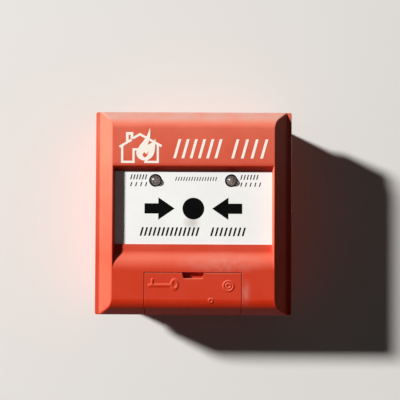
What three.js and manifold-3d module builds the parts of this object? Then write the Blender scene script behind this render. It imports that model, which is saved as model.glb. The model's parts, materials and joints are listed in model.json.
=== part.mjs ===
// Manual call point for a fire alarm: a square wall box with a hinged press plate, a key reset
// and a telephone jack behind a flap. Millimetres, +Z up. The wall is the plane Y = 0 and the
// front faces -Y, so a depth in this file is a distance from the wall towards the front.
import * as THREE from 'three';
import { mergeVertices } from 'three/addons/utils/BufferGeometryUtils.js';
import Module from 'manifold-3d';

const wasm = await Module();
wasm.setup();

// Clearance between pieces that touch, and between a pin and its bore
const gap = 0.3;

// Outer body
const bodyWidth = 95.4;
const bodyHeight = 98.4;
const bodyDepth = 45.5;
const halfWidth = bodyWidth / 2;
const halfHeight = bodyHeight / 2;
const cornerRadius = 1.6;
const rimSetback = 7.6;
const rimDepth = bodyDepth - rimSetback;
const ledgeWidth = 2.2;
const sideBevelRun = 6.8;
const endFacetAngle = THREE.MathUtils.degToRad(54);
const endRoundRadius = 6.4;

// Front cover
const coverDepth = 24.3;
const coverWall = 2.2;
const sealThickness = 1.2;
const windowSideMargin = 9.5;
const windowTopMargin = 26.65;
const windowBottomMargin = 34;
const windowSideDraft = 0.5;
const windowTopDraft = 2.5;
const windowCollar = 1.6;
const sillFlat = 2.6;
const sillStep = 0.5;
const rampRun = 9.2;
const rampTopEase = 5.2;
const rampFootEase = 2.6;
const coverBossSideMargin = 7.1;
const coverBossEndMargin = 16.2;
const coverBossRadius = 2.9;
const coverBossHoleLength = 5;
const cheekWall = 1.8;
const coverRear = bodyDepth - coverDepth;
const frontSkin = bodyDepth - coverWall;
const windowHalfWidth = halfWidth - windowSideMargin;
const windowTop = halfHeight - windowTopMargin;
const windowBottom = windowBottomMargin - halfHeight;
const windowFloor = windowTop - windowTopDraft;
const rampEnd = windowBottom - sillFlat - rampRun;
const coverBossX = halfWidth - coverBossSideMargin;
const coverBossZ = halfHeight - coverBossEndMargin;

// Screws
const screwShankRadius = 1.1;
const screwHeadRadius = 2.3;
const screwHeadHeight = 1.5;
const screwSlotWidth = 0.8;
const chassisScrewLength = 6;
const boardScrewLength = 5.5;

// Back box and the base plate on its bosses
const boxDepth = coverRear - sealThickness;
const boxInset = 1.2;
const boxWall = 2.6;
const boxFloor = 2.5;
const boxCornerRadius = 2.4;
const basePlateThickness = 2.2;
const basePlateInset = 1.2;
const basePlateCorner = 3;
const basePlateSetback = 3;
const baseBossSideMargin = 10.7;
const baseBossEndMargin = 11.2;
const baseBossRadius = 4;
const slotSpacing = 60.3;
const slotWidth = 5;
const slotLength = 10;
const lowerSlotMargin = 21.2;
const cableEntryCorner = 4;
const cableEntryWidth = 30;
const cableEntryHeight = 16;
const cableEntryDrop = 8;
const knockoutGroove = 0.8;
const knockoutGrooveDepth = 1.4;
const knockoutMargin = 0.55;
const baseBossX = halfWidth - baseBossSideMargin;
const baseBossZ = halfHeight - baseBossEndMargin;
const basePlateFront = boxDepth - basePlateSetback;
const basePlateRear = basePlateFront - basePlateThickness;
const baseBossHeight = basePlateRear - gap - boxFloor;
const baseScrewTipMargin = 2;
const baseScrewLength = baseBossHeight - baseScrewTipMargin;
const lowerSlotZ = lowerSlotMargin - halfHeight;
const knockoutRadius = (boxDepth - boxFloor) / 2 - knockoutMargin;
const knockoutDepth = (boxDepth + boxFloor) / 2;

// Press plate and its pivot
const plateRecess = 3.5;
const plateThickness = 2;
const plateLap = 0.4;
const plateTopLap = 3.85;
const plateCorner = 0.6;
const pressAngle = THREE.MathUtils.degToRad(4.5);
const pivotRise = 1.65;
const pivotSetback = 2.4;
const pivotPinRadius = 1;
const pivotPinReach = 2;
const lugSpacing = 4.5;
const plateEarWidth = 3;
const plateEarRadius = 1.9;
const lugMargin = 4.2;
const lugWidth = 3;
const lugHalfHeight = 2.4;
const returnSpringMargin = 12.2;
const returnSpringRise = 8.2;
const returnSpringRadius = 2.4;
const returnSpringWire = 0.5;
const returnSpringTurns = 4;
const springPostRadius = 1.5;
const springPostHeight = 1.2;
const plateFront = bodyDepth - plateRecess;
const plateRear = plateFront - plateThickness;
const plateHalfWidth = windowHalfWidth - windowSideDraft + plateLap;
const plateTop = windowTop + plateTopLap;
const plateBottom = windowBottom + gap;
const pivotZ = windowTop + pivotRise;
const pivotDepth = plateRear - pivotSetback;
const lugX = windowHalfWidth - lugMargin;
const plateEarX = lugX - lugSpacing;
const pivotPinHalfLength = lugX + pivotPinReach;
const returnSpringX = windowHalfWidth - returnSpringMargin;
const returnSpringZ = windowBottom + returnSpringRise;

// Chassis and circuit board
const chassisSetback = 4.6;
const chassisThickness = 1.8;
const chassisSideMargin = 9.7;
const chassisTopRise = 7.45;
const chassisBottomMargin = 8.2;
const chassisEarHalfHeight = 4;
const boardSetback = 5;
const boardThickness = 1.6;
const boardSideMargin = 12.2;
const boardTopMargin = 13.2;
const boardBottomMargin = 18.2;
const boardPostMargin = 3.5;
const boardPostTopDrop = 3;
const boardPostBottomRise = 7;
const boardPostRadius = 2.8;
const chassisRear = pivotDepth - chassisSetback;
const chassisFront = chassisRear + chassisThickness;
const chassisHalfWidth = halfWidth - chassisSideMargin;
const chassisTop = windowTop + chassisTopRise;
const chassisBottom = chassisBottomMargin - halfHeight;
const boardRear = chassisRear - boardSetback;
const boardFront = boardRear + boardThickness;
const boardHalfWidth = halfWidth - boardSideMargin;
const boardTop = halfHeight - boardTopMargin;
const boardBottom = boardBottomMargin - halfHeight;
const boardPostX = boardHalfWidth - boardPostMargin;
const boardPostTopZ = chassisTop - boardPostTopDrop;
const boardPostBottomZ = boardBottom + boardPostBottomRise;

// Indicators
const ledX = 18.2;
const ledDrop = 6.8;
const ledRadius = 2.5;
const ledFlangeRadius = 2.9;
const ledFlangeThickness = 1;
const ledFlangeSetback = 0.4;
const ledShoulderSetback = 0.4;
const ledHoleRadius = 3.1;
const ledLeadSpacing = 2.54;
const ledLeadWidth = 0.5;
const ledSpacerBoreRadius = 1.97;
const ledZ = windowTop - ledDrop;
const ledFlangeDepth = chassisFront - ledFlangeSetback;
const ledShoulderDepth = plateFront - ledShoulderSetback;

// Alarm switch
const switchRise = 11.2;
const switchWidth = 12.8;
const switchHeight = 5.8;
const switchSetback = 0.2;
const plungerSetback = 2.6;
const plungerWidth = 2.4;
const plungerHeight = 1.4;
const plungerTravel = 2.3;
const plungerLength = 3.7;
const plungerRibWidth = 6;
const plungerRibHeight = 4;
const switchZ = windowBottom + switchRise;
const switchFront = chassisFront - switchSetback;
const plungerTip = plateRear - plungerSetback;

// Service door
const doorHalfWidth = 23.3;
const doorTopMargin = 21.45;
const doorWall = 2;
const doorNotchHalfWidth = 5.2;
const doorNotchDepth = 2.4;
const doorNotchSlope = 0.9;
const doorSkirt = 2;
const notchStopMargin = 2.3;
const notchStopDrop = 4;
const notchStopThickness = 1.4;
const notchStopSetback = 1.1;
const hingeRise = 3.2;
const hingeForward = 0.1;
const hingePinRadius = 0.8;
const hingeBarrelRadius = 1.8;
const cheekBelowHinge = 2.4;
const doorTop = doorTopMargin - halfHeight;
const hingeDepth = rimDepth + hingeForward;
const hingeZ = hingeRise - halfHeight;

// Key reset and latch
const barrelMargin = 8.3;
const barrelRise = 15.8;
const barrelRadius = 4.2;
const barrelFlangeRadius = 5.5;
const barrelFlangeThickness = 1;
const barrelCollarHeight = 2.4;
const barrelCollarWall = 1.15;
const barrelRearSetback = 1.3;
const keywayWidth = 1.6;
const keywayHeight = 5.4;
const keywayDepth = 5;
const clipThickness = 0.5;
const clipGrooveDepth = 0.5;
const clipRadius = 5.8;
const clipMouthHalfWidth = 2.4;
const crankOffset = 2;
const crankPinRadius = 0.9;
const latchThickness = 1;
const latchWidth = 5;
const latchTipGap = 0.5;
const latchSlotPlay = 0.7;
const latchHeadWall = 1.6;
const latchGuideWidth = 1.6;
const latchGuideLength = 5;
const latchGuideDrop = 7;
const latchNoseLength = 3;
const hookWidth = 3;
const hookHeight = 3.5;
const hookRise = 2.2;
const hookNotch = 1.9;
const hookSlotPlay = 1.2;
const boardSlotHalfWidth = 4;
const boardSlotMargin = 2;
const latchSpringRadius = 1.3;
const latchSpringWire = 0.3;
const latchSpringTurns = 4;
const springLedgeWidth = 7;
const springLedgeThickness = 1.4;
const barrelX = barrelMargin - doorHalfWidth;
const barrelZ = barrelRise - halfHeight;
const barrelRear = chassisRear - barrelRearSetback;
const clipRear = barrelRear + clipThickness;
const hookBottom = windowBottom + hookRise;
const latchGuideZ = hookBottom - latchGuideDrop;
const latchFront = barrelRear - gap;
const latchRear = latchFront - latchThickness;
const latchHeadBottom = barrelZ - crankPinRadius - gap - latchSlotPlay - latchHeadWall;

// Telephone jack
const jackMargin = 6.65;
const jackBoreRadius = 3.2;
const jackBushingRadius = 4.5;
const jackBushingReach = 3.6;
const jackBodyWidth = 14;
const jackBodyClearance = 1;
const jackBodyWall = 1.2;
const jackBodyFloor = 1.5;
const jackBodyBorePlay = 0.4;
const jackSlotSetback = 4;
const jackNutAcrossFlats = 10.5;
const jackNutThickness = 2;
const jackContactWidth = 2.4;
const jackContactThickness = 0.6;
const jackX = doorHalfWidth - jackMargin;
const jackZ = barrelZ;
const jackBushingFront = chassisFront + jackBushingReach;
const jackBodyRear = basePlateFront + jackBodyClearance;

// Terminals and contacts on the base plate
const terminalTopMargin = 21.2;
const terminalBottomMargin = 32.2;
const terminalWidth = 34;
const terminalHeight = 11;
const terminalHeadroom = 2.7;
const terminalCount = 3;
const terminalPitch = 10.4;
const terminalScrewRadius = 2.2;
const terminalScrewTall = 3;
const terminalScrewSunk = 0.6;
const wireEntryWidth = 6;
const wireEntryHeight = 4;
const wireEntryRear = 1.4;
const wireEntryReach = 2;
const clampThickness = 0.8;
const wireClampHeight = 3.4;
const wireWindowMargin = 2.5;
const contactMargin = 4.5;
const contactPitch = 5;
const contactCount = 4;
const contactBladeWidth = 2.8;
const contactBladeThickness = 0.8;
const contactBladeLength = 6;
const headerWidth = 5;
const headerThickness = 1.5;
const terminalTopZ = halfHeight - terminalTopMargin;
const terminalBottomZ = terminalBottomMargin - halfHeight;
const terminalRear = basePlateFront + gap;
const terminalFront = boardRear - terminalHeadroom;
const cableEntryZ = terminalTopZ - cableEntryDrop;
const wireWindowHalfHeight = -terminalBottomZ - terminalHeight / 2 - wireWindowMargin;
const contactX = boardHalfWidth - contactMargin;

// Cover screw in the bottom wall
const coverScrewSetback = 18.5;
const coverScrewHeadRadius = 2.6;
const coverScrewRecess = 1.2;
const coverScrewLength = 10;
const coverScrewSlotWidth = 0.6;
const coverLugHalfWidth = 5;
const coverLugThickness = 4;
const coverScrewDepth = bodyDepth - coverScrewSetback;

// Component sizes on the board
const chipX = 4;
const chipRise = 13;
const chipWidth = 9;
const chipHeight = 6;
const chipTall = 1.5;
const capacitorX = -8;
const capacitorZ = 12;
const capacitorRadius = 3.1;
const capacitorTall = 9;
const crystalMargin = 11;
const crystalZ = 0;
const crystalWidth = 10;
const crystalHeight = 4;
const crystalTall = 2.6;
const crystalX = contactX - crystalMargin;

// How finely curved outlines are drawn
const coarse = 5;
const medium = 8;
const fine = 12;

// Colours, with each part's own roughness and metalness
const red = { color: 0xcf3f2a, roughness: 0.45, metalness: 0 };
const white = { color: 0xf4f3ee, roughness: 0.4, metalness: 0 };
const black = { color: 0x1c1c1e, roughness: 0.55, metalness: 0 };
const grey = { color: 0x8d9092, roughness: 0.6, metalness: 0 };
const green = { color: 0x1f5b36, roughness: 0.5, metalness: 0 };
const steel = { color: 0xb9bcc0, roughness: 0.3, metalness: 1 };
const brass = { color: 0xc9a24c, roughness: 0.35, metalness: 1 };
const clear = { color: 0xe9eef0, roughness: 0.08, metalness: 0, transparent: true, opacity: 0.5 };
const foam = { color: 0x2a2a2b, roughness: 0.95, metalness: 0 };

// Solids

// A closed geometry as a solid that can be joined and cut
function solid(geometry) {
  geometry.deleteAttribute('normal');
  geometry.deleteAttribute('uv');
  const merged = mergeVertices(geometry, 1e-5);
  return new wasm.Manifold(new wasm.Mesh({
    numProp: 3,
    vertProperties: new Float32Array(merged.attributes.position.array),
    triVerts: new Uint32Array(merged.index.array),
  }));
}

function geometryOf(manifold) {
  const mesh = manifold.getMesh();
  const geometry = new THREE.BufferGeometry();
  geometry.setAttribute('position', new THREE.BufferAttribute(mesh.vertProperties, 3));
  geometry.setIndex(new THREE.BufferAttribute(mesh.triVerts, 1));
  return geometry;
}

function join(...pieces) {
  return pieces.reduce((sum, piece) => sum.add(piece));
}

function cut(piece, ...tools) {
  return tools.reduce((rest, tool) => rest.subtract(tool), piece);
}

function extrude(shape, length, axes, start, segments = 6) {
  const geometry = new THREE.ExtrudeGeometry(shape, {
    depth: length, bevelEnabled: false, curveSegments: segments,
  });
  geometry.applyMatrix4(new THREE.Matrix4().makeBasis(...axes));
  geometry.translate(start.x, start.y, start.z);
  return solid(geometry);
}

const axisX = new THREE.Vector3(1, 0, 0);
const axisZ = new THREE.Vector3(0, 0, 1);
const outward = new THREE.Vector3(0, -1, 0);
const minusX = axisX.clone().negate();
const minusZ = axisZ.clone().negate();

// A shape drawn in X and Z, from one depth to another
function slab(shape, rear, front, segments) {
  const start = new THREE.Vector3(0, -rear, 0);
  return extrude(shape, front - rear, [axisX, axisZ, outward], start, segments);
}

// A shape drawn in depth and Z, from one X to another
function acrossX(shape, left, right, segments) {
  const start = new THREE.Vector3(right, 0, 0);
  return extrude(shape, right - left, [outward, axisZ, minusX], start, segments);
}

// A shape drawn in X and depth, from one Z to another
function alongZ(shape, bottom, top, segments) {
  const start = new THREE.Vector3(0, 0, top);
  return extrude(shape, top - bottom, [axisX, outward, minusZ], start, segments);
}

function polygon(points) {
  return new THREE.Shape(points.map(([a, b]) => new THREE.Vector2(a, b)));
}

function rectangle(left, bottom, right, top) {
  return polygon([[left, bottom], [right, bottom], [right, top], [left, top]]);
}

function roundedRectangle(left, bottom, right, top, radius) {
  const shape = new THREE.Shape();
  shape.absarc(right - radius, bottom + radius, radius, -Math.PI / 2, 0);
  shape.absarc(right - radius, top - radius, radius, 0, Math.PI / 2);
  shape.absarc(left + radius, top - radius, radius, Math.PI / 2, Math.PI);
  shape.absarc(left + radius, bottom + radius, radius, Math.PI, Math.PI * 1.5);
  return shape;
}

function circle(a, b, radius) {
  return new THREE.Shape().absarc(a, b, radius, 0, Math.PI * 2);
}

function centredRectangle(a, b, width, height) {
  return rectangle(a - width / 2, b - height / 2, a + width / 2, b + height / 2);
}

// A closed outline moved inwards by a distance, corner by corner
function insetOutline(points, distance) {
  return points.map((point, i) => {
    const before = points[(i + points.length - 1) % points.length];
    const after = points[(i + 1) % points.length];
    const a = point.clone().sub(before).normalize();
    const b = after.clone().sub(point).normalize();
    const normalA = new THREE.Vector2(-a.y, a.x);
    const normalB = new THREE.Vector2(-b.y, b.x);
    const mitre = normalA.add(normalB).normalize();
    return point.clone().addScaledVector(mitre, distance / mitre.dot(normalB));
  });
}

// Outline of the body in X and depth: flat ledges at the rim, then bevels up to the front
function sideOutline(inset, rear) {
  const half = halfWidth;
  const ledge = half - ledgeWidth;
  const ridge = ledge - sideBevelRun;
  const points = [
    [-half, rear], [half, rear], [half, rimDepth], [ledge, rimDepth], [ridge, bodyDepth],
    [-ridge, bodyDepth], [-ledge, rimDepth], [-half, rimDepth],
  ].map(([x, depth]) => new THREE.Vector2(x, depth));
  return new THREE.Shape(insetOutline(points, inset));
}

// Outline of the body in depth and Z: a steep facet at each end that turns into the front
function endOutline(inset, rear) {
  const half = halfHeight;
  const arcRise = endRoundRadius * (1 - Math.cos(endFacetAngle));
  const facetRise = bodyDepth - rimDepth - arcRise;
  const facetRun = facetRise / Math.tan(endFacetAngle);
  const arcTop = half - facetRun - endRoundRadius * Math.sin(endFacetAngle);
  const steps = 6;
  const upper = [];
  for (let i = 0; i <= steps; i += 1) {
    const angle = endFacetAngle * (1 - i / steps);
    upper.push(new THREE.Vector2(
      bodyDepth - endRoundRadius * (1 - Math.cos(angle)),
      arcTop + endRoundRadius * Math.sin(angle),
    ));
  }
  const lower = upper.map((point) => new THREE.Vector2(point.x, -point.y));
  const points = [
    new THREE.Vector2(rear, -half), new THREE.Vector2(rimDepth, -half), ...lower,
    ...upper.reverse(), new THREE.Vector2(rimDepth, half), new THREE.Vector2(rear, half),
  ];
  return new THREE.Shape(insetOutline(points, inset));
}

// The body's outer form, or the same form moved inwards by a wall
function bodyForm(inset, rear) {
  const x = halfWidth - inset;
  const z = halfHeight - inset;
  const across = acrossX(endOutline(inset, rear - inset), -bodyWidth, bodyWidth);
  const upright = alongZ(sideOutline(inset, rear - inset), -bodyHeight, bodyHeight);
  const radius = Math.max(cornerRadius - inset, gap);
  const front = slab(roundedRectangle(-x, -z, x, z, radius), rear, bodyDepth, 3);
  return across.intersect(upright).intersect(front);
}

// A pan-head screw along the depth: its head on the far side of a plate, its shank through it
function screw(x, z, headFace, headDirection, shankLength) {
  const headEnd = headFace + headDirection * screwHeadHeight;
  const tip = headFace - headDirection * shankLength;
  const root = headFace + headDirection * gap;
  const slotFace = headDirection > 0 ? headEnd : headEnd + screwHeadHeight / 2;
  const head = slab(
    circle(x, z, screwHeadRadius), Math.min(headFace, headEnd), Math.max(headFace, headEnd),
  );
  const shank = slab(
    circle(x, z, screwShankRadius), Math.min(tip, root), Math.max(tip, root), coarse,
  );
  const slot = slab(
    centredRectangle(x, z, screwHeadRadius * 2, screwSlotWidth),
    slotFace - screwHeadHeight / 2, slotFace,
  );
  return cut(join(head, shank), slot);
}

// A coil spring as one tube along a helix, whose ends run straight for one wire diameter
class Helix extends THREE.Curve {
  constructor(radius, length, turns) {
    super();
    Object.assign(this, { radius, length, turns });
  }

  getPoint(t, target = new THREE.Vector3()) {
    const angle = t * this.turns * Math.PI * 2;
    return target.set(this.radius * Math.cos(angle), this.radius * Math.sin(angle), t * this.length);
  }
}

function helixSpring(name, radius, wire, length, turns) {
  const path = new Helix(radius, length - wire, turns);
  const pitch = path.length / turns;
  console.log(`${name}: least gap between its curls ${(pitch - wire).toFixed(2)} mm`);
  const section = new THREE.Shape().absarc(0, 0, wire / 2, 0, Math.PI * 2);
  const geometry = new THREE.ExtrudeGeometry(section, {
    steps: turns * 10, extrudePath: path, curveSegments: 3, bevelEnabled: false,
  });
  geometry.translate(0, 0, wire / 2);
  return geometry;
}

// Parts

// A call for each of the four corners, with the signs of its X and Z
function atCorners(make) {
  return [[-1, -1], [1, -1], [1, 1], [-1, 1]].map(([sx, sz]) => make(sx, sz));
}

function backBox() {
  const x = halfWidth - boxInset;
  const z = halfHeight - boxInset;
  const outer = slab(roundedRectangle(-x, -z, x, z, boxCornerRadius), 0, boxDepth, coarse);
  const inner = slab(
    rectangle(boxWall - x, boxWall - z, x - boxWall, z - boxWall), boxFloor, boxDepth + gap,
  );
  const bosses = atCorners((sx, sz) => slab(
    circle(sx * baseBossX, sz * baseBossZ, baseBossRadius), boxFloor / 2, boxFloor + baseBossHeight,
  ));
  const bossHoles = atCorners((sx, sz) => slab(
    circle(sx * baseBossX, sz * baseBossZ, screwShankRadius + gap), boxFloor, boxDepth, coarse,
  ));
  const slots = [];
  for (const slotX of [-slotSpacing / 2, slotSpacing / 2]) {
    for (const slotZ of [0, lowerSlotZ]) {
      const shape = roundedRectangle(
        slotX - slotWidth / 2, slotZ - slotLength / 2,
        slotX + slotWidth / 2, slotZ + slotLength / 2, slotWidth / 2,
      );
      slots.push(slab(shape, -gap, boxFloor + gap));
    }
  }
  const entry = slab(roundedRectangle(
    -cableEntryWidth / 2, cableEntryZ - cableEntryHeight / 2,
    cableEntryWidth / 2, cableEntryZ + cableEntryHeight / 2, cableEntryCorner,
  ), -gap, boxFloor + gap);
  const grooves = [[z - knockoutGrooveDepth, z + 1], [-z - 1, knockoutGrooveDepth - z]].map(
    ([bottom, top]) => cut(
      alongZ(circle(0, knockoutDepth, knockoutRadius), bottom, top, fine),
      alongZ(circle(0, knockoutDepth, knockoutRadius - knockoutGroove), bottom - 1, top + 1, fine),
    ),
  );
  return cut(join(cut(outer, inner), ...bosses), ...bossHoles, ...slots, entry, ...grooves);
}

function boxSeal() {
  const x = halfWidth - boxInset - gap;
  const z = halfHeight - boxInset - gap;
  const wall = boxWall - gap * 2;
  const outer = slab(
    roundedRectangle(-x, -z, x, z, boxCornerRadius), boxDepth + gap / 2, coverRear - gap / 2, coarse,
  );
  const inner = rectangle(wall - x, wall - z, x - wall, z - wall);
  return cut(outer, slab(inner, boxDepth, coverRear));
}

// The window's opening with its drafted walls, the sill and the ramp below it
function windowCut() {
  const front = bodyDepth + 1;
  const rear = plateRear - 1;
  const sill = plateFront + sillStep;
  const shape = new THREE.Shape();
  shape.moveTo(rear, windowBottom);
  shape.lineTo(rear, windowFloor);
  shape.lineTo(plateFront, windowFloor);
  shape.lineTo(bodyDepth, windowTop);
  shape.lineTo(front, windowTop);
  shape.lineTo(front, rampEnd);
  shape.lineTo(bodyDepth, rampEnd);
  shape.bezierCurveTo(bodyDepth, rampEnd + rampTopEase, sill, windowBottom - sillFlat - rampFootEase,
    sill, windowBottom - sillFlat);
  shape.lineTo(sill, windowBottom);
  const inside = windowHalfWidth - windowSideDraft;
  const sides = polygon([
    [-inside, rear], [inside, rear], [inside, plateFront], [windowHalfWidth, bodyDepth],
    [windowHalfWidth, front], [-windowHalfWidth, front], [-windowHalfWidth, bodyDepth],
    [-inside, plateFront],
  ]);
  return acrossX(shape, -bodyWidth, bodyWidth).intersect(alongZ(sides, -bodyHeight, bodyHeight));
}

// The skin behind the window's edges, its sill and its ramp
function windowCollarBlocks() {
  const half = windowHalfWidth + windowCollar;
  const collar = slab(
    rectangle(-half, windowBottom - gap, half, windowTop + windowCollar),
    plateFront + gap, frontSkin + gap,
  );
  const sill = plateFront + sillStep;
  const skin = polygon([
    [sill - coverWall, windowBottom], [sill + gap, windowBottom], [frontSkin + 1, rampEnd],
    [frontSkin, rampEnd - 1], [sill - coverWall, windowBottom - sillFlat - gap],
  ]);
  return [collar, acrossX(skin, -half, half)];
}

function frontCover() {
  const outer = bodyForm(0, coverRear);
  const shell = cut(outer, bodyForm(coverWall, coverRear - coverWall));
  const bosses = atCorners((sx, sz) => slab(
    circle(sx * coverBossX, sz * coverBossZ, coverBossRadius), chassisFront + gap, frontSkin,
  ));
  const bossHoles = atCorners((sx, sz) => slab(
    circle(sx * coverBossX, sz * coverBossZ, screwShankRadius + gap),
    chassisFront, chassisFront + coverBossHoleLength, coarse,
  ));
  const cheekInner = doorHalfWidth + gap;
  const cheekOuter = cheekInner + cheekWall;
  const openingTop = doorTop + gap;
  const cheekShape = rectangle(
    chassisFront + gap, hingeZ - cheekBelowHinge, frontSkin + gap, openingTop,
  );
  const cheeks = [
    acrossX(cheekShape, -cheekOuter, -cheekInner),
    acrossX(cheekShape, cheekInner, cheekOuter),
  ];
  const roof = slab(
    rectangle(-cheekOuter, openingTop, cheekOuter, openingTop + cheekWall),
    chassisFront + gap, frontSkin,
  );
  const added = join(...windowCollarBlocks(), ...bosses, ...cheeks, roof).intersect(outer);
  const doorway = slab(
    rectangle(-cheekInner, -bodyHeight, cheekInner, openingTop), hingeDepth, bodyDepth + 1,
  );
  const skirtReach = Math.hypot(doorSkirt + hingeForward, hingeRise);
  const skirtRoom = acrossX(
    circle(hingeDepth, hingeZ, skirtReach + gap), -cheekInner, cheekInner, fine,
  );
  const pinHole = acrossX(
    circle(hingeDepth, hingeZ, hingePinRadius + gap), -bodyWidth / 3, bodyWidth / 3, coarse,
  );
  const screwBore = alongZ(
    circle(0, coverScrewDepth, screwShankRadius + gap), -bodyHeight, -bodyHeight / 3, coarse,
  );
  const screwRecess = alongZ(
    circle(0, coverScrewDepth, coverScrewHeadRadius + gap), -bodyHeight, coverScrewRecess - halfHeight,
  );
  return cut(
    join(shell, added), windowCut(), doorway, skirtRoom, pinHole,
    ...bossHoles, screwBore, screwRecess,
  );
}

// The tab behind the door's notch, against which a nail lifts the door. It hangs under the
// roof of the doorway.
function notchStop() {
  const half = doorNotchHalfWidth + notchStopMargin;
  const front = bodyDepth - doorWall - notchStopSetback;
  return slab(
    rectangle(-half, doorTop - notchStopDrop, half, doorTop), front - notchStopThickness, front,
  );
}

function pivotBore() {
  return acrossX(
    circle(pivotDepth, pivotZ, pivotPinRadius + gap), -bodyWidth, bodyWidth, coarse,
  );
}

function pressPlate() {
  const outline = roundedRectangle(
    -plateHalfWidth, plateBottom, plateHalfWidth, plateTop, plateCorner,
  );
  const face = slab(outline, plateRear, plateFront, 2);
  const ears = [-1, 1].map((side) => {
    const left = side * plateEarX - plateEarWidth / 2;
    const right = left + plateEarWidth;
    return join(
      acrossX(circle(pivotDepth, pivotZ, plateEarRadius), left, right),
      acrossX(
        rectangle(pivotDepth, pivotZ - plateEarRadius, plateRear + gap, pivotZ + plateEarRadius),
        left, right,
      ),
    );
  });
  const rib = slab(
    centredRectangle(0, switchZ, plungerRibWidth, plungerRibHeight),
    plungerTip + gap, plateRear + gap,
  );
  const posts = [-1, 1].map((side) => slab(
    circle(side * returnSpringX, returnSpringZ, springPostRadius),
    plateRear - springPostHeight, plateRear + gap,
  ));
  const hookTravel = (pivotZ - hookBottom) * Math.sin(pressAngle);
  const tipThickness = hookTravel - latchThickness - gap * 2;
  const tipRear = latchFront + gap;
  const hookRight = barrelX + hookWidth / 2;
  const hookLeft = barrelX - hookWidth / 2;
  const hook = slab(
    rectangle(hookLeft, hookBottom, hookRight, hookBottom + hookHeight), tipRear, plateRear + gap,
  );
  const notchRear = tipRear + tipThickness;
  const notch = slab(
    rectangle(hookLeft - 1, hookBottom - 1, hookRight + 1, hookBottom + hookNotch),
    notchRear, notchRear + latchThickness + gap * 3,
  );
  const ledHoles = [-1, 1].map((side) => slab(
    circle(side * ledX, ledZ, ledHoleRadius), plateRear - 1, plateFront + 1, fine,
  ));
  const body = join(face, ...ears, rib, ...posts, cut(hook, notch));
  return cut(body, ...ledHoles, pivotBore());
}

function boardPosts(make) {
  return [-boardPostX, boardPostX].flatMap(
    (x) => [boardPostTopZ, boardPostBottomZ].map((z) => make(x, z)),
  );
}

function chassis() {
  const earX = coverBossX + coverBossRadius;
  const front = chassisFront;
  const rear = chassisRear;
  const body = slab(
    rectangle(-chassisHalfWidth, chassisBottom, chassisHalfWidth, chassisTop), rear, front,
  );
  const ears = [-coverBossZ, coverBossZ].map((z) => slab(
    rectangle(-earX, z - chassisEarHalfHeight, earX, z + chassisEarHalfHeight), rear, front,
  ));
  const lugShape = rectangle(
    rear, pivotZ - lugHalfHeight, pivotDepth + plateEarRadius, pivotZ + lugHalfHeight,
  );
  const lugs = [-lugX, lugX].map((x) => acrossX(lugShape, x - lugWidth / 2, x + lugWidth / 2));
  const posts = boardPosts((x, z) => slab(
    circle(x, z, boardPostRadius), boardFront + gap, rear + gap,
  ));
  const postHoles = boardPosts((x, z) => slab(
    circle(x, z, screwShankRadius + gap), boardFront - 1, front - gap, coarse,
  ));
  const earHoles = atCorners((sx, sz) => slab(
    circle(sx * coverBossX, sz * coverBossZ, screwShankRadius + gap), rear - 1, front + 1, coarse,
  ));
  const springPosts = [-1, 1].map((side) => slab(
    circle(side * returnSpringX, returnSpringZ, springPostRadius),
    front - gap, front + springPostHeight,
  ));
  const barrelCollar = slab(
    circle(barrelX, barrelZ, barrelRadius + gap + barrelCollarWall), rear, front + barrelCollarHeight,
  );
  const ledHoles = [-1, 1].map((side) => slab(
    circle(side * ledX, ledZ, ledFlangeRadius + gap), rear - 1, front + 1,
  ));
  const switchHole = slab(
    centredRectangle(0, switchZ, switchWidth + gap * 2, switchHeight + gap * 2), rear - 1, front + 1,
  );
  const hookSlot = slab(centredRectangle(
    barrelX, hookBottom + hookHeight / 2, hookWidth + hookSlotPlay * 2, hookHeight + hookSlotPlay * 2,
  ), rear - 1, front + 1);
  const barrelHole = slab(
    circle(barrelX, barrelZ, barrelRadius + gap), rear - 1, front + barrelCollarHeight + 1, fine,
  );
  const jackHole = slab(
    circle(jackX, jackZ, jackBushingRadius + gap), rear - 1, front + 1, fine,
  );
  const guideOffset = (latchWidth + latchGuideWidth) / 2 + gap;
  const guides = [-guideOffset, guideOffset].map((offset) => slab(
    centredRectangle(barrelX + offset, latchGuideZ, latchGuideWidth, latchGuideLength),
    latchRear, rear + gap,
  ));
  const ledgeBottom = chassisBottom - springLedgeThickness;
  const ledgeHalf = springLedgeWidth / 2;
  const springLedge = slab(
    rectangle(barrelX - ledgeHalf, ledgeBottom, barrelX + ledgeHalf, chassisBottom + gap),
    latchRear - springLedgeThickness, front,
  );
  const springRoom = slab(
    rectangle(-bodyWidth, chassisBottom, bodyWidth, chassisBottom + 1),
    latchRear - springLedgeThickness - 1, rear,
  );
  return cut(
    join(body, ...ears, ...lugs, ...posts, ...springPosts, barrelCollar, ...guides, springLedge),
    springRoom, ...postHoles, ...earHoles, ...ledHoles, switchHole, hookSlot, barrelHole, jackHole,
    pivotBore(),
  );
}

function circuitBoard() {
  const body = slab(
    rectangle(-boardHalfWidth, boardBottom, boardHalfWidth, boardTop), boardRear, boardFront,
  );
  const holes = boardPosts((x, z) => slab(
    circle(x, z, screwShankRadius + gap), boardRear - 1, boardFront + 1, coarse,
  ));
  const slotTop = hookBottom + hookHeight + boardSlotMargin;
  const hookSlot = slab(
    rectangle(barrelX - boardSlotHalfWidth, boardBottom - 1, barrelX + boardSlotHalfWidth, slotTop),
    boardRear - 1, boardFront + 1,
  );
  const jackCorner = slab(
    centredRectangle(jackX, jackZ, jackBodyWidth + gap * 2, jackBodyWidth + gap * 2),
    boardRear - 1, boardFront + 1,
  );
  return cut(body, ...holes, hookSlot, jackCorner);
}

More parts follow.
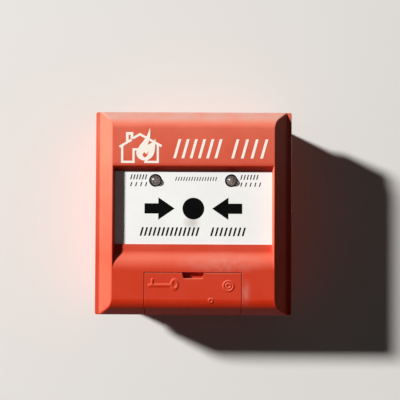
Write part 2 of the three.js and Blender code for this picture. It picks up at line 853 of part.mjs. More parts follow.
// A clear lamp: a dome on a cylinder, with a flange and two leads down to the board
function led(side) {
  const x = side * ledX;
  const dome = new THREE.SphereGeometry(ledRadius, 20, 12);
  dome.rotateX(Math.PI / 2);
  dome.translate(x, -ledShoulderDepth, ledZ);
  const leads = [-1, 1].map((half) => slab(
    centredRectangle(x + half * ledLeadSpacing / 2, ledZ, ledLeadWidth, ledLeadWidth),
    boardFront + gap, ledFlangeDepth + gap,
  ));
  return join(
    solid(dome),
    slab(circle(x, ledZ, ledRadius), ledFlangeDepth, ledShoulderDepth, fine),
    slab(
      circle(x, ledZ, ledFlangeRadius), ledFlangeDepth, ledFlangeDepth + ledFlangeThickness, fine,
    ),
    ...leads,
  );
}

function ledSpacer(side) {
  const x = side * ledX;
  const sleeve = slab(circle(x, ledZ, ledRadius), boardFront + gap, ledFlangeDepth - gap);
  const bore = slab(circle(x, ledZ, ledSpacerBoreRadius), boardFront, ledFlangeDepth);
  return cut(sleeve, bore);
}

function switchBody() {
  const body = slab(
    centredRectangle(0, switchZ, switchWidth, switchHeight), boardFront + gap, switchFront,
  );
  const well = slab(
    centredRectangle(0, switchZ, plungerWidth + gap * 2, plungerHeight + gap * 2),
    plungerTip - plungerTravel - plungerLength - gap, switchFront + 1,
  );
  return cut(body, well);
}

function switchPlunger() {
  const rear = plungerTip - plungerLength;
  const nib = plungerWidth / 6;
  const stem = slab(centredRectangle(0, switchZ, plungerWidth, plungerHeight), rear, plungerTip - nib);
  const tip = slab(centredRectangle(0, switchZ, plungerWidth - nib * 2, plungerHeight), rear, plungerTip);
  return join(stem, tip);
}

function resetBarrel() {
  const flangeRear = chassisFront + barrelCollarHeight + gap;
  const front = flangeRear + barrelFlangeThickness;
  const body = slab(circle(barrelX, barrelZ, barrelRadius), barrelRear, front, fine);
  const flange = slab(circle(barrelX, barrelZ, barrelFlangeRadius), flangeRear, front, fine);
  const keyway = slab(
    centredRectangle(barrelX, barrelZ, keywayWidth, keywayHeight), front - keywayDepth, front + 1,
  );
  const groove = cut(
    slab(
      circle(barrelX, barrelZ, barrelRadius + 1),
      clipRear - clipThickness / 2 - gap, clipRear + clipThickness + gap,
    ),
    slab(
      circle(barrelX, barrelZ, barrelRadius - clipGrooveDepth), barrelRear - 1, chassisRear + 1, fine,
    ),
  );
  const crank = slab(
    circle(barrelX + crankOffset, barrelZ, crankPinRadius), latchRear - gap, barrelRear + gap, medium,
  );
  return cut(join(body, flange, crank), keyway, groove);
}

function barrelClip() {
  const ring = slab(
    circle(barrelX, barrelZ, clipRadius), clipRear, clipRear + clipThickness, fine,
  );
  const bore = slab(
    circle(barrelX, barrelZ, barrelRadius - clipGrooveDepth + gap), barrelRear, chassisRear, fine,
  );
  const mouth = slab(rectangle(
    barrelX - clipMouthHalfWidth, barrelZ - clipRadius - 1, barrelX + clipMouthHalfWidth, barrelZ,
  ), barrelRear, chassisRear);
  return cut(ring, bore, mouth);
}

// The latch: a flat slide whose cross slot rides on the crank pin and whose tip enters the hook
function latchSlide() {
  const tip = hookBottom - latchTipGap;
  const slotHalf = crankPinRadius + gap + latchSlotPlay;
  const stem = slab(
    rectangle(barrelX - latchWidth / 2, barrelZ, barrelX + latchWidth / 2, tip),
    latchRear, latchFront,
  );
  const slotReach = crankOffset + crankPinRadius + gap;
  const headHalf = slotReach + latchHeadWall;
  const head = slab(
    rectangle(barrelX - headHalf, latchHeadBottom, barrelX + headHalf, barrelZ * 2 - latchHeadBottom),
    latchRear, latchFront,
  );
  const slot = slab(
    rectangle(barrelX - slotReach, barrelZ - slotHalf, barrelX + slotReach, barrelZ + slotHalf),
    latchRear - 1, latchFront + 1,
  );
  const noseHalf = hookWidth / 2 - gap;
  const shoulders = [-1, 1].map((side) => slab(
    centredRectangle(barrelX + side * (noseHalf + latchWidth / 2), tip, latchWidth, latchNoseLength * 2),
    latchRear - 1, latchFront + 1,
  ));
  return cut(join(stem, head), slot, ...shoulders);
}

function jackBody() {
  const boreRear = jackBodyRear + jackBodyFloor;
  const slotHalf = jackContactWidth / 2 + gap;
  const slotTop = jackZ + jackBodyWidth / 2 - jackBodyWall;
  const block = slab(
    centredRectangle(jackX, jackZ, jackBodyWidth, jackBodyWidth), jackBodyRear, chassisRear - gap,
  );
  const bore = slab(
    circle(jackX, jackZ, jackBoreRadius + jackBodyBorePlay), boreRear, chassisRear, fine,
  );
  const contactSlot = slab(
    rectangle(jackX - slotHalf, jackZ, jackX + slotHalf, slotTop),
    boreRear, chassisRear - jackSlotSetback,
  );
  return cut(block, bore, contactSlot);
}

function jackBushing() {
  const barrel = slab(circle(jackX, jackZ, jackBushingRadius), chassisRear, jackBushingFront, fine);
  const bore = slab(
    circle(jackX, jackZ, jackBoreRadius), chassisRear - 1, jackBushingFront + 1, fine,
  );
  return cut(barrel, bore);
}

function jackNut() {
  const radius = jackNutAcrossFlats / 2 / Math.cos(Math.PI / 6);
  const corners = Array.from({ length: 6 }, (_, i) => [
    jackX + radius * Math.cos(i * Math.PI / 3), jackZ + radius * Math.sin(i * Math.PI / 3),
  ]);
  const rear = chassisFront + gap;
  const front = rear + jackNutThickness;
  const bore = slab(circle(jackX, jackZ, jackBushingRadius + gap), rear - 1, front + 1, fine);
  return cut(slab(polygon(corners), rear, front), bore);
}

function jackContact() {
  const half = jackContactWidth / 2;
  const top = jackZ + jackBodyWidth / 2 - jackBodyWall - gap;
  const rear = jackBodyRear + jackBodyFloor + gap;
  const front = chassisRear - jackSlotSetback - gap;
  const strip = rectangle(rear, top - jackContactThickness, front, top);
  return acrossX(strip, jackX - half, jackX + half);
}

function serviceDoor() {
  const rear = rimDepth - doorSkirt;
  const ring = cut(
    acrossX(endOutline(0, rear), -doorHalfWidth, doorHalfWidth),
    acrossX(endOutline(doorWall, rear - doorWall * 2), -bodyWidth, bodyWidth),
  );
  const lower = slab(rectangle(-bodyWidth, -bodyHeight, bodyWidth, doorTop), rear, bodyDepth + 1);
  const notch = slab(polygon([
    [-doorNotchHalfWidth + doorNotchSlope, doorTop - doorNotchDepth],
    [doorNotchHalfWidth - doorNotchSlope, doorTop - doorNotchDepth],
    [doorNotchHalfWidth, doorTop + 1], [-doorNotchHalfWidth, doorTop + 1],
  ]), frontSkin - 1, bodyDepth + 1);
  const knuckle = acrossX(
    circle(hingeDepth, hingeZ, hingeBarrelRadius), -doorHalfWidth, doorHalfWidth, medium,
  );
  const bore = acrossX(
    circle(hingeDepth, hingeZ, hingePinRadius + gap), -bodyWidth, bodyWidth, coarse,
  );
  return cut(join(ring.intersect(lower), knuckle), notch, bore);
}

function basePlate() {
  const x = halfWidth - boxInset - boxWall - basePlateInset;
  const z = halfHeight - boxInset - boxWall - basePlateInset;
  const body = slab(
    roundedRectangle(-x, -z, x, z, basePlateCorner), basePlateRear, basePlateFront, coarse,
  );
  const wireWindow = slab(
    centredRectangle(0, 0, cableEntryWidth, wireWindowHalfHeight * 2),
    basePlateRear - 1, basePlateFront + 1,
  );
  const holes = atCorners((sx, sz) => slab(
    circle(sx * baseBossX, sz * baseBossZ, screwShankRadius + gap),
    basePlateRear - 1, basePlateFront + 1, coarse,
  ));
  const lugTop = coverLugThickness - z;
  const lug = alongZ(rectangle(
    -coverLugHalfWidth, basePlateFront - gap, coverLugHalfWidth, coverScrewDepth + coverLugThickness,
  ), -z, lugTop);
  const lugHole = alongZ(
    circle(0, coverScrewDepth, screwShankRadius + gap), -z - 1, lugTop + 1, coarse,
  );
  return cut(join(body, lug), wireWindow, ...holes, lugHole);
}

// The positions of a row of equal pieces about its middle
function rowOf(count, pitch) {
  return Array.from({ length: count }, (_, i) => (i - (count - 1) / 2) * pitch);
}

// A row of screw terminals: a screw well from the front and a wire entry from the middle
function terminalBlock(z, entrySide) {
  const entryRear = terminalRear + wireEntryRear;
  const block = slab(
    centredRectangle(0, z, terminalWidth, terminalHeight), terminalRear, terminalFront,
  );
  const wells = rowOf(terminalCount, terminalPitch).flatMap((x) => [
    slab(circle(x, z, terminalScrewRadius + gap), entryRear, terminalFront + 1, medium),
    alongZ(
      rectangle(x - wireEntryWidth / 2, entryRear, x + wireEntryWidth / 2, entryRear + wireEntryHeight),
      entrySide < 0 ? z - terminalHeight : z - wireEntryReach,
      entrySide < 0 ? z + wireEntryReach : z + terminalHeight,
    ),
  ]);
  return cut(block, ...wells);
}

function terminalScrew(x, z) {
  const front = terminalFront - terminalScrewSunk;
  const slot = centredRectangle(x, z, terminalScrewRadius * 3, screwSlotWidth);
  return cut(
    slab(circle(x, z, terminalScrewRadius), front - terminalScrewTall, front, medium),
    slab(slot, front - screwSlotWidth, terminalFront),
  );
}

function wireClamp(x, z) {
  const rear = terminalRear + wireEntryRear + gap;
  return slab(
    centredRectangle(x, z, wireEntryWidth - gap * 2, wireClampHeight), rear, rear + clampThickness,
  );
}

// A header behind the board: a strip that carries a row of blades
function contactHeader(side) {
  const front = boardRear - gap;
  const strip = slab(
    centredRectangle(side * contactX, 0, headerWidth, contactPitch * contactCount),
    front - headerThickness, front,
  );
  const blades = rowOf(contactCount, contactPitch).map((z) => slab(
    centredRectangle(side * contactX, z, contactBladeWidth, contactBladeThickness),
    front - contactBladeLength, front - headerThickness + gap,
  ));
  return join(strip, ...blades);
}

// The housing on the base plate whose pockets take the header's blades
function contactSocket(side) {
  const front = boardRear - gap * 2 - headerThickness;
  const bladeTip = boardRear - gap - contactBladeLength;
  const housing = slab(
    centredRectangle(side * contactX, 0, headerWidth, contactPitch * contactCount),
    basePlateFront + gap, front,
  );
  const pockets = rowOf(contactCount, contactPitch).map((z) => slab(
    centredRectangle(
      side * contactX, z, contactBladeWidth + gap * 2, contactBladeThickness + gap * 2,
    ), bladeTip - gap, front + 1,
  ));
  return cut(housing, ...pockets);
}

function coverScrew() {
  const bottom = gap - halfHeight;
  const head = alongZ(
    circle(0, coverScrewDepth, coverScrewHeadRadius), bottom, coverScrewRecess - gap - halfHeight, medium,
  );
  const shank = alongZ(
    circle(0, coverScrewDepth, screwShankRadius), bottom + gap, bottom + coverScrewLength, coarse,
  );
  const slot = alongZ(
    centredRectangle(0, coverScrewDepth, coverScrewHeadRadius * 3, coverScrewSlotWidth),
    bottom - 1, bottom + gap,
  );
  return cut(join(head, shank), slot);
}

// The object

const callPoint = new THREE.Group();
callPoint.name = 'manual_call_point';

function place(name, piece, look) {
  const geometry = piece.isBufferGeometry ? piece : geometryOf(piece);
  const mesh = new THREE.Mesh(geometry, new THREE.MeshStandardMaterial(look));
  mesh.name = name;
  callPoint.add(mesh);
  return mesh;
}

place('back_box', backBox(), red);
place('box_seal', boxSeal(), foam);
place('front_cover', frontCover(), red);
place('notch_stop', notchStop(), red);
place('press_plate', pressPlate(), white);
place('service_door', serviceDoor(), red);
place('chassis', chassis(), black);
place('circuit_board', circuitBoard(), green);
place('led_left', led(-1), clear);
place('led_right', led(1), clear);
place('led_spacer_left', ledSpacer(-1), black);
place('led_spacer_right', ledSpacer(1), black);
place('alarm_switch_body', switchBody(), black);
place('alarm_switch_plunger', switchPlunger(), red);
place('plate_pivot_pin', acrossX(
  circle(pivotDepth, pivotZ, pivotPinRadius), -pivotPinHalfLength, pivotPinHalfLength,
), steel);
place('door_hinge_pin', acrossX(
  circle(hingeDepth, hingeZ, hingePinRadius), -doorHalfWidth - cheekWall, doorHalfWidth + cheekWall,
), steel);
place('reset_barrel', resetBarrel(), steel);
place('barrel_clip', barrelClip(), steel);
place('latch_slide', latchSlide(), steel);
place('jack_body', jackBody(), black);
place('jack_bushing', jackBushing(), steel);
place('jack_nut', jackNut(), steel);
place('jack_contact', jackContact(), brass);
place('base_plate', basePlate(), grey);
for (const [row, z, entrySide] of [['top', terminalTopZ, -1], ['bottom', terminalBottomZ, 1]]) {
  place(`terminal_block_${row}`, terminalBlock(z, entrySide), black);
  rowOf(terminalCount, terminalPitch).forEach((x, i) => {
    place(`terminal_screw_${row}_${i + 1}`, terminalScrew(x, z), steel);
    place(`wire_clamp_${row}_${i + 1}`, wireClamp(x, z), brass);
  });
}
for (const [name, side] of [['left', -1], ['right', 1]]) {
  place(`contact_header_${name}`, contactHeader(side), brass);
  place(`contact_socket_${name}`, contactSocket(side), black);
}
place('cover_screw', coverScrew(), steel);
atCorners((sx, sz) => screw(
  sx * baseBossX, sz * baseBossZ, basePlateFront + gap, 1, baseScrewLength,
)).forEach((piece, i) => place(`base_screw_${i + 1}`, piece, steel));
atCorners((sx, sz) => screw(
  sx * coverBossX, sz * coverBossZ, chassisRear - gap, -1, chassisScrewLength,
)).forEach((piece, i) => place(`chassis_screw_${i + 1}`, piece, steel));
[[-boardPostX, boardPostBottomZ], [boardPostX, boardPostTopZ]].forEach(([x, z], i) => {
  place(`board_screw_${i + 1}`, screw(x, z, boardRear - gap, -1, boardScrewLength), steel);
});
const boardBack = boardRear - gap;
place('controller_chip', slab(
  centredRectangle(chipX, boardBottom + chipRise, chipWidth, chipHeight),
  boardBack - chipTall, boardBack,
), black);
place('capacitor', slab(
  circle(capacitorX, capacitorZ, capacitorRadius), boardBack - capacitorTall, boardBack,
), black);
place('crystal', slab(
  centredRectangle(crystalX, crystalZ, crystalWidth, crystalHeight),
  boardBack - crystalTall, boardBack,
), steel);

for (const side of [-1, 1]) {
  const length = plateRear - chassisFront - gap * 2;
  const spring = place(`plate_spring_${side < 0 ? 'left' : 'right'}`, helixSpring(
    'plate spring', returnSpringRadius, returnSpringWire, length, returnSpringTurns,
  ), steel);
  spring.position.set(side * returnSpringX, -chassisFront - gap, returnSpringZ);
  spring.rotation.x = Math.PI / 2;
}
const latchSpringLength = latchHeadBottom - chassisBottom - gap * 2;
const latchSpring = place('latch_spring', helixSpring(
  'latch spring', latchSpringRadius, latchSpringWire, latchSpringLength, latchSpringTurns,
), steel);
latchSpring.position.set(barrelX, -(latchRear + latchFront) / 2, chassisBottom + gap);

export default callPoint;
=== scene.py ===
"""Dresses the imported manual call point: the moulded cover and its flap, the print, the lamps and
every finish, on a plain stage. Lengths inside the shape functions are millimetres, with a depth
counted from the wall towards the front, and in_frame() turns them into the frame's metres."""

import json
import math
from functools import cache
from types import SimpleNamespace

import bpy
import numpy as np
from mathutils import Euler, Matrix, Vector


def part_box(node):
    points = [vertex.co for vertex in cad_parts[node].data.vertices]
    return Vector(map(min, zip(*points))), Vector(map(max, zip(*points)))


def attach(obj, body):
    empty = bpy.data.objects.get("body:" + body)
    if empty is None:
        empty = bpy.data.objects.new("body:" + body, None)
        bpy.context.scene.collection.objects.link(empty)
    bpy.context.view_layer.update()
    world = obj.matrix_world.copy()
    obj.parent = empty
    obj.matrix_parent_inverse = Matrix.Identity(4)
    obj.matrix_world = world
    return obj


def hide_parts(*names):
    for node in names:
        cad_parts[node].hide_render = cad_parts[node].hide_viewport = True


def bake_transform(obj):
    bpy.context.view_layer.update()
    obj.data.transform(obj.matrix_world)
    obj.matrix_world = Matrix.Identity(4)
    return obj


bl_info = {
    "name": "Manual call point",
    "version": (1, 0, 0),
    "blender": (4, 5, 0),
    "location": "3D View > Sidebar > Call point",
    "description": "Builds the looks of a manual call point on its packed frame",
    "category": "Add Mesh",
}

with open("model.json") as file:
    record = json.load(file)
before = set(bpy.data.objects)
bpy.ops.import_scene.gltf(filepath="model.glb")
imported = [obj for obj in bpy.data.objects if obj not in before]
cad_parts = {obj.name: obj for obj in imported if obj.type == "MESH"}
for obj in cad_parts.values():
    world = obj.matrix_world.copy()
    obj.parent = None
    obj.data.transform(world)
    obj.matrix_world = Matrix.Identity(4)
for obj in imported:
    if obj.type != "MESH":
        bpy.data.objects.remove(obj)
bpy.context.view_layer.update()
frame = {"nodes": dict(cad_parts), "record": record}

MM = 0.001


def node_box(node):
    """A CAD node's lowest and highest X, depth and Z in millimetres."""
    low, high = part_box(node)
    return (
        np.array([low.x, -high.y, low.z]) / MM,
        np.array([high.x, -low.y, high.z]) / MM,
    )


COVER_LOW, COVER_HIGH = node_box("front_cover")
PLATE_FACE = node_box("press_plate")[1][1]
DOOR_LOW, DOOR_HIGH = node_box("service_door")
PIN_LOW, PIN_HIGH = node_box("door_hinge_pin")
LAMP_LOW, LAMP_HIGH = node_box("led_right")

# The round well in the cover's bottom wall, where the cover screw sits. The wall's grid lines bend
# round it as far out as the reach, and run straight again from the margin on.
WELL_RADIUS = 2.9
WELL_DEPTH = 1.2
WELL_REACH = 4.3
WELL_MARGIN = 4.4

# Points of the cover's outline below this height lie on its bottom wall
BOTTOM_EDGE = 0.1 - COVER_HIGH[2]

# Width of the deep cheek that the cover has beside and above the door, and height of each end over
# which its inner layer draws in by one wall
CHEEK = 1.8
END_SPAN = 8.8

LAMP_RADIUS = 2.5

# Rings in each turn of a spring, and points in each ring
COIL_STEPS = 36
WIRE_SIDES = 12


def in_frame(points):
    """Points given as X, depth and height in millimetres, in the frame's metres."""
    return np.asarray(points) * (MM, -MM, MM)


def tone(red, green, blue):
    """A colour given as the screen shows it, from 0 to 255, as linear values."""
    screen = np.array([red, green, blue]) / 255
    linear = np.where(screen <= 0.04045, screen / 12.92, ((screen + 0.055) / 1.055) ** 2.4)
    return (*linear.tolist(), 1.0)


def length(name, description, default):
    """A length property whose default is given in millimetres."""
    return bpy.props.FloatProperty(
        name=name, description=description, default=float(default) * MM, min=0.0,
        unit="LENGTH", precision=5,
    )


def tint(name, description, red, green, blue):
    """A colour property whose default is given as the screen shows it, from 0 to 255."""
    return bpy.props.FloatVectorProperty(
        name=name, description=description, default=tone(red, green, blue), size=4,
        subtype="COLOR", min=0.0, max=1.0,
    )


class CallPointCover(bpy.types.PropertyGroup):
    """Sizes of the moulded front cover."""

    wall: length("Wall", "Thickness of the cover's skin", 2.2)
    rim_setback: length("Rim setback", "From the front face back to the rim of the bevels", 7.6)
    ledge: length("Ledge", "Flat ledge outside each side bevel", 2.2)
    bevel_run: length("Bevel run", "Width of each side bevel", 6.8)
    corner: length("Corner radius", "Radius of the body's upright corners", 1.0)
    end_radius: length("End radius", "Radius that turns the front into each end facet", 6.4)
    end_angle: bpy.props.FloatProperty(
        name="End angle", description="Slope of each end facet", default=math.radians(54), subtype="ANGLE"
    )
    window_side: length("Window side", "From the window's edge to the body's side", 9.5)
    window_top: length("Window top", "Height of the window's upper edge above the middle", 22.55)
    window_bottom: length("Window bottom", "Depth of the window's lower edge below the middle", 15.2)
    side_draft: length("Side draft", "Run of each drafted side wall of the window", 0.5)
    top_draft: length("Top draft", "Run of the drafted upper wall of the window", 2.35)
    recess: length("Recess", "Depth of the sill behind the front", 3.0)
    lip: length("Lip", "How far the sill's thin lip laps over the plate's lower edge", 0.4)
    sill: length("Sill", "Flat sill below the plate", 2.6)
    ramp: length("Ramp", "Height of the ramp from the sill up to the front", 9.2)
    seam: length("Seam", "Clearance round the service door", 0.3)
    door_trim: length("Door trim", "How far the door's sides and top stand inside the CAD door's", 0.4)
    foot: length("Foot", "From the front back to the feet of the bosses and the door's cheeks", 10.4)
    screw_depth: length("Cover screw depth", "Depth of the screw in the bottom wall", 27.0)


class CallPointDoor(bpy.types.PropertyGroup):
    """Sizes of the service door and of the marks moulded on it."""

    wall: length("Wall", "Thickness of the door", 2.0)
    notch_half: length("Notch half width", "Half the width of the finger notch", 5.2)
    notch_depth: length("Notch depth", "Height of the finger notch", 2.6)
    relief: length("Relief", "How far the moulded marks stand out", 0.24)
    line: length("Line", "Width of the moulded lines", 0.75)


class CallPointFinish(bpy.types.PropertyGroup):
    """Colours of the finishes."""

    red: tint("Red plastic", "Moulded cover, door and back box", 202, 45, 13)
    # Pale red: tone that differs at random and rubbed edges, and in red_cover also the painted light on faces
    # that look up or left
    pale_red: tint("Faded red", "Red plastic where the sun has bleached it", 228, 118, 94)
    white: tint("White plastic", "Press plate", 246, 246, 243)
    grime: tint("Grime", "Handling marks on the plate", 182, 168, 154)
    dust: tint("Dust", "Pale wall dust", 200, 178, 166)
    ink: tint("Black print", "Print on the plate", 5, 5, 6)
    cream: tint("Cream print", "Print on the cover", 250, 240, 228)


class CallPointStage(bpy.types.PropertyGroup):
    """Backdrop, lamps and camera."""

    backdrop: tint("Backdrop", "Colour of the wall and the floor", 222, 219, 214)
    key_watts: bpy.props.FloatProperty(
        name="Key", description="Power of the soft key lamp", default=486.0, min=0.0, unit="POWER"
    )
    rear_watts: bpy.props.FloatProperty(
        name="Rear", description="Power of the soft lamp behind the wall", default=45.0, min=0.0, unit="POWER"
    )
    ambient: bpy.props.FloatProperty(
        name="Ambient", description="Strength of the even light from all sides",
        default=0.03, min=0.0, max=1.0, subtype="FACTOR",
    )
    lens: bpy.props.FloatProperty(
        name="Lens", description="Focal length of the camera", default=53.7, subtype="DISTANCE_CAMERA"
    )


def millimetres(group):
    """The sizes in a property group: lengths in millimetres, angles as they are."""
    values = {}
    for key, prop in group.bl_rna.properties.items():
        if prop.type == "FLOAT":
            value = getattr(group, key)
            values[key] = value / MM if prop.unit == "LENGTH" else value
    return SimpleNamespace(**values)


def colours_of(group):
    """The colours in a property group, as the tuples that a material's sockets take."""
    keys = [key for key, prop in group.bl_rna.properties.items() if prop.type == "FLOAT"]
    return SimpleNamespace(**{key: tuple(getattr(group, key)) for key in keys})


# Shapes


def soft_max(a, b, reach):
    """The larger of a and b with the corner between them rounded over reach:
    a·h + b·(1 - h) + reach·h·(1 - h), where h goes from 0 to 1 as a - b crosses the reach."""
    h = np.clip(0.5 + 0.5 * (a - b) / reach, 0, 1)
    return a * h + b * (1 - h) + reach * h * (1 - h)


def soft_min(a, b, reach):
    """The smaller of a and b, rounded as soft_max does."""
    return -soft_max(-a, -b, reach)


def smooth_step(t):
    """3t² - 2t³ with t held between 0 and 1."""
    t = np.clip(t, 0, 1)
    return t * t * (3 - 2 * t)


def edge_drop(distance, radius):
    """How far a rounded edge falls away at a distance from it: r - sqrt(r² - (r - s)²)."""
    t = np.clip(radius - distance, 0, radius)
    return radius - np.sqrt(radius**2 - t**2)


def lines(*stops):
    """Grid lines between stops, given as value, number of cells, value, number of cells, ..., value."""
    values, cells = stops[0::2], stops[1::2]
    parts = [np.linspace(a, b, n, endpoint=False) for a, b, n in zip(values, values[1:], cells)]
    return np.append(np.concatenate(parts), values[-1])


def mirrored(half):
    """Lines on both sides of zero from the lines on one side, which start at zero."""
    return np.concatenate([-half[:0:-1], half])


def grid_quads(rows, columns):
    """The quads of a grid of points, numbered row by row, as (rows - 1, columns - 1, 4)."""
    index = np.arange(rows * columns).reshape(rows, columns)
    return np.stack([index[:-1, :-1], index[:-1, 1:], index[1:, 1:], index[1:, :-1]], axis=-1)


def close_shell(outer, inner, quads):
    """A wall from an outer and an inner layer of points that share their quads: the inner quads are
    turned round, and each edge that only one quad has is joined across the wall."""
    edges = quads[:, [0, 1, 1, 2, 2, 3, 3, 0]].reshape(-1, 2)
    count = len(outer)
    forward = edges[:, 0] * count + edges[:, 1]
    backward = edges[:, 1] * count + edges[:, 0]
    rim = edges[~np.isin(forward, backward)]
    sides = np.column_stack([rim[:, 1], rim[:, 0], rim[:, 0] + count, rim[:, 1] + count])
    faces = np.vstack([quads, quads[:, ::-1] + count, sides])
    used, faces = np.unique(faces, return_inverse=True)
    return np.vstack([outer, inner])[used], [faces.reshape(-1, 4)]


def carried_profile(rings, closed_path=False):
    """A surface through equal rings of points, (rings, points, 3), each running the same way round.
    The ends are closed by a flat face unless the path closes on itself."""
    count, around = rings.shape[:2]
    index = np.arange(count * around).reshape(count, around)
    following = np.roll(index, -1, axis=1)
    ahead = np.roll(index, -1, axis=0)
    ahead_following = np.roll(following, -1, axis=0)
    quads = np.stack([index, following, ahead_following, ahead], axis=-1)
    if closed_path:
        faces = [quads.reshape(-1, 4)]
    else:
        faces = [quads[:-1].reshape(-1, 4), index[:1, ::-1], index[-1:]]
    return rings.reshape(-1, 3), faces


def raised_outline(outline, rear, front, rounding):
    """A flat shape with rounded front edges: its outline, (n, 2) in X and Z and counterclockwise,
    stands from rear to front and draws in by r(1 - cos a) as it rises by r·sin a."""
    before, after = np.roll(outline, 1, axis=0), np.roll(outline, -1, axis=0)
    a, b = outline - before, after - outline
    normal = np.stack([-a[:, 1], a[:, 0]], 1) / np.linalg.norm(a, axis=1, keepdims=True)
    normal_b = np.stack([-b[:, 1], b[:, 0]], 1) / np.linalg.norm(b, axis=1, keepdims=True)
    mitre = normal + normal_b
    mitre /= np.maximum((mitre * normal_b).sum(1, keepdims=True), 0.2)
    angle = np.linspace(0, np.pi / 2, 3)
    inset = np.append(0, rounding * (1 - np.cos(angle)))
    depth = np.append(rear, front - rounding + rounding * np.sin(angle))
    flat = outline[None] + mitre[None] * inset[:, None, None]
    rings = np.stack([flat[..., 0], np.broadcast_to(depth[:, None], flat.shape[:2]), flat[..., 1]], -1)
    return carried_profile(rings)


def turned(profile, segments, centre, axis):
    """A lathe form: a profile of (radius, distance along the axis) pairs turned about an axis that
    runs along X or along the depth. The profile closes on itself."""
    angle = np.arange(segments) * 2 * np.pi / segments
    radius, along = profile[:, 0][None], profile[:, 1][None]
    a = radius * np.cos(angle)[:, None]
    b = radius * np.sin(angle)[:, None]
    along = np.broadcast_to(along, a.shape)
    if axis == "depth":
        points = np.stack([centre[0] + a, centre[1] + along, centre[2] + b], -1)
    else:
        points = np.stack([centre[0] + along, centre[1] + a, centre[2] + b], -1)
    return carried_profile(points, closed_path=True)


def coil(start, radius, wire, height, turns, across):
    """A round wire along a helix: the path is start + (R·cos a, h·a, R·sin a) along the depth, or
    turned to run along Z, and the wire's ring stands across the path's own direction."""
    angle = np.linspace(0, turns * 2 * np.pi, turns * COIL_STEPS + 1)
    rise = height * angle / angle[-1]
    slope = height / angle[-1]
    path = np.stack([radius * np.cos(angle), radius * np.sin(angle), rise], 1)
    forward = np.stack([-radius * np.sin(angle), radius * np.cos(angle), np.full_like(angle, slope)], 1)
    forward /= np.linalg.norm(forward, axis=1, keepdims=True)
    side = np.stack([np.cos(angle), np.sin(angle), np.zeros_like(angle)], 1)
    lift = np.cross(forward, side)
    around = np.arange(WIRE_SIDES) * 2 * np.pi / WIRE_SIDES
    rings = (
        path[:, None]
        + wire / 2 * np.cos(around)[None, :, None] * side[:, None]
        + wire / 2 * np.sin(around)[None, :, None] * lift[:, None]
    )
    rings = rings[..., [0, 2, 1]] if across == "depth" else rings[:, ::-1]
    return carried_profile(rings + np.array(start))


def gather(parts):
    """Several (points, faces) shapes as one."""
    points, faces, base = [], [], 0
    for part_points, part_faces in parts:
        points.append(part_points)
        faces += [block + base for block in part_faces]
        base += len(part_points)
    return np.vstack(points), faces


def round_hole(u, v, radius, reach):
    """Bends the square grid lines about the origin into circles out to radius, and back to squares at
    reach: a point whose larger coordinate is m moves to its own direction times m."""
    m = np.maximum(np.abs(u), np.abs(v))
    away = np.hypot(u, v)
    share = 1 - smooth_step((m - radius) / (reach - radius))
    scale = np.where((m > 0) & (m < reach), 1 + share * (m / np.maximum(away, 1e-9) - 1), 1)
    return u * scale, v * scale


# The body's own form


def end_section(cover):
    """The heights, above and below the middle, at which the flat front turns into each end's arc and
    the arc into its facet."""
    radius, angle = cover.end_radius, cover.end_angle
    facet_rise = cover.rim_setback - radius * (1 - math.cos(angle))
    facet_start = COVER_HIGH[2] - facet_rise / math.tan(angle)
    return facet_start - radius * math.sin(angle), facet_start


def body_drop(x, z, cover):
    """How far the moulded front lies behind its flat face. Each side falls away in a straight bevel,
    each end in an arc of radius R and then a facet at its angle, and the two are mixed by
    (side^p + end^p)^(1/p), so that they meet in a mitre. It stops at the rim."""
    ridge_round, rim_round, mitre_power = 0.45, 0.4, 14
    ridge = COVER_HIGH[0] - cover.ledge - cover.bevel_run
    slope = cover.rim_setback / cover.bevel_run
    side = slope * soft_max(np.abs(x) - ridge, 0.0, ridge_round)
    radius, angle = cover.end_radius, cover.end_angle
    t = np.clip(np.abs(z) - end_section(cover)[0], 0, None)
    arc = np.minimum(t, radius * math.sin(angle))
    end = radius - np.sqrt(radius**2 - arc**2) + (t - arc) * math.tan(angle)
    both = (side**mitre_power + end**mitre_power) ** (1 / mitre_power)
    return soft_min(both, cover.rim_setback, rim_round)


def window_depth(x, z, cover):
    """Depth of the window's own faces, in millimetres from the wall: drafted side and upper walls, the
    sill, and a ramp whose rise is an S curve that bends sooner at its foot than at its head. Outside
    the window it lies in front of the cover."""
    foot_pull, head_pull = 0.85, 1.3
    top_round, side_round = 0.3, 0.35
    front = COVER_HIGH[1]
    floor = front - cover.recess
    half = COVER_HIGH[0] - cover.window_side
    sides = front + (np.abs(x) - half) * cover.recess / cover.side_draft
    top = front + (z - cover.window_top) * cover.recess / cover.top_draft
    ramp_foot = -cover.window_bottom - cover.sill
    u = np.linspace(0, 1, 41)
    run = foot_pull * (1 - u) ** 2 * u + head_pull * (1 - u) * u**2 + u**3
    rise = 3 * (1 - u) * u**2 + u**3
    t = (ramp_foot - z) / cover.ramp
    ramp = floor + cover.recess * np.interp(t, run, rise)
    ramp = np.where(t > 1, front + (t - 1) * cover.recess, ramp)
    ramp = np.where(t < 0, floor, ramp)
    return soft_max(sides, soft_max(top, ramp, top_round), side_round)


def outline_distance(x, z, half_x, half_z, radius):
    """Distance inwards from a rounded rectangle's outline: with q how far a point passes the centre of
    its corner's arc along each axis, it is r - |max(q, 0)| - min(the larger q, 0)."""
    qx, qz = np.abs(x) - half_x + radius, np.abs(z) - half_z + radius
    outside = np.hypot(np.maximum(qx, 0), np.maximum(qz, 0))
    return radius - outside - np.minimum(np.maximum(qx, qz), 0)


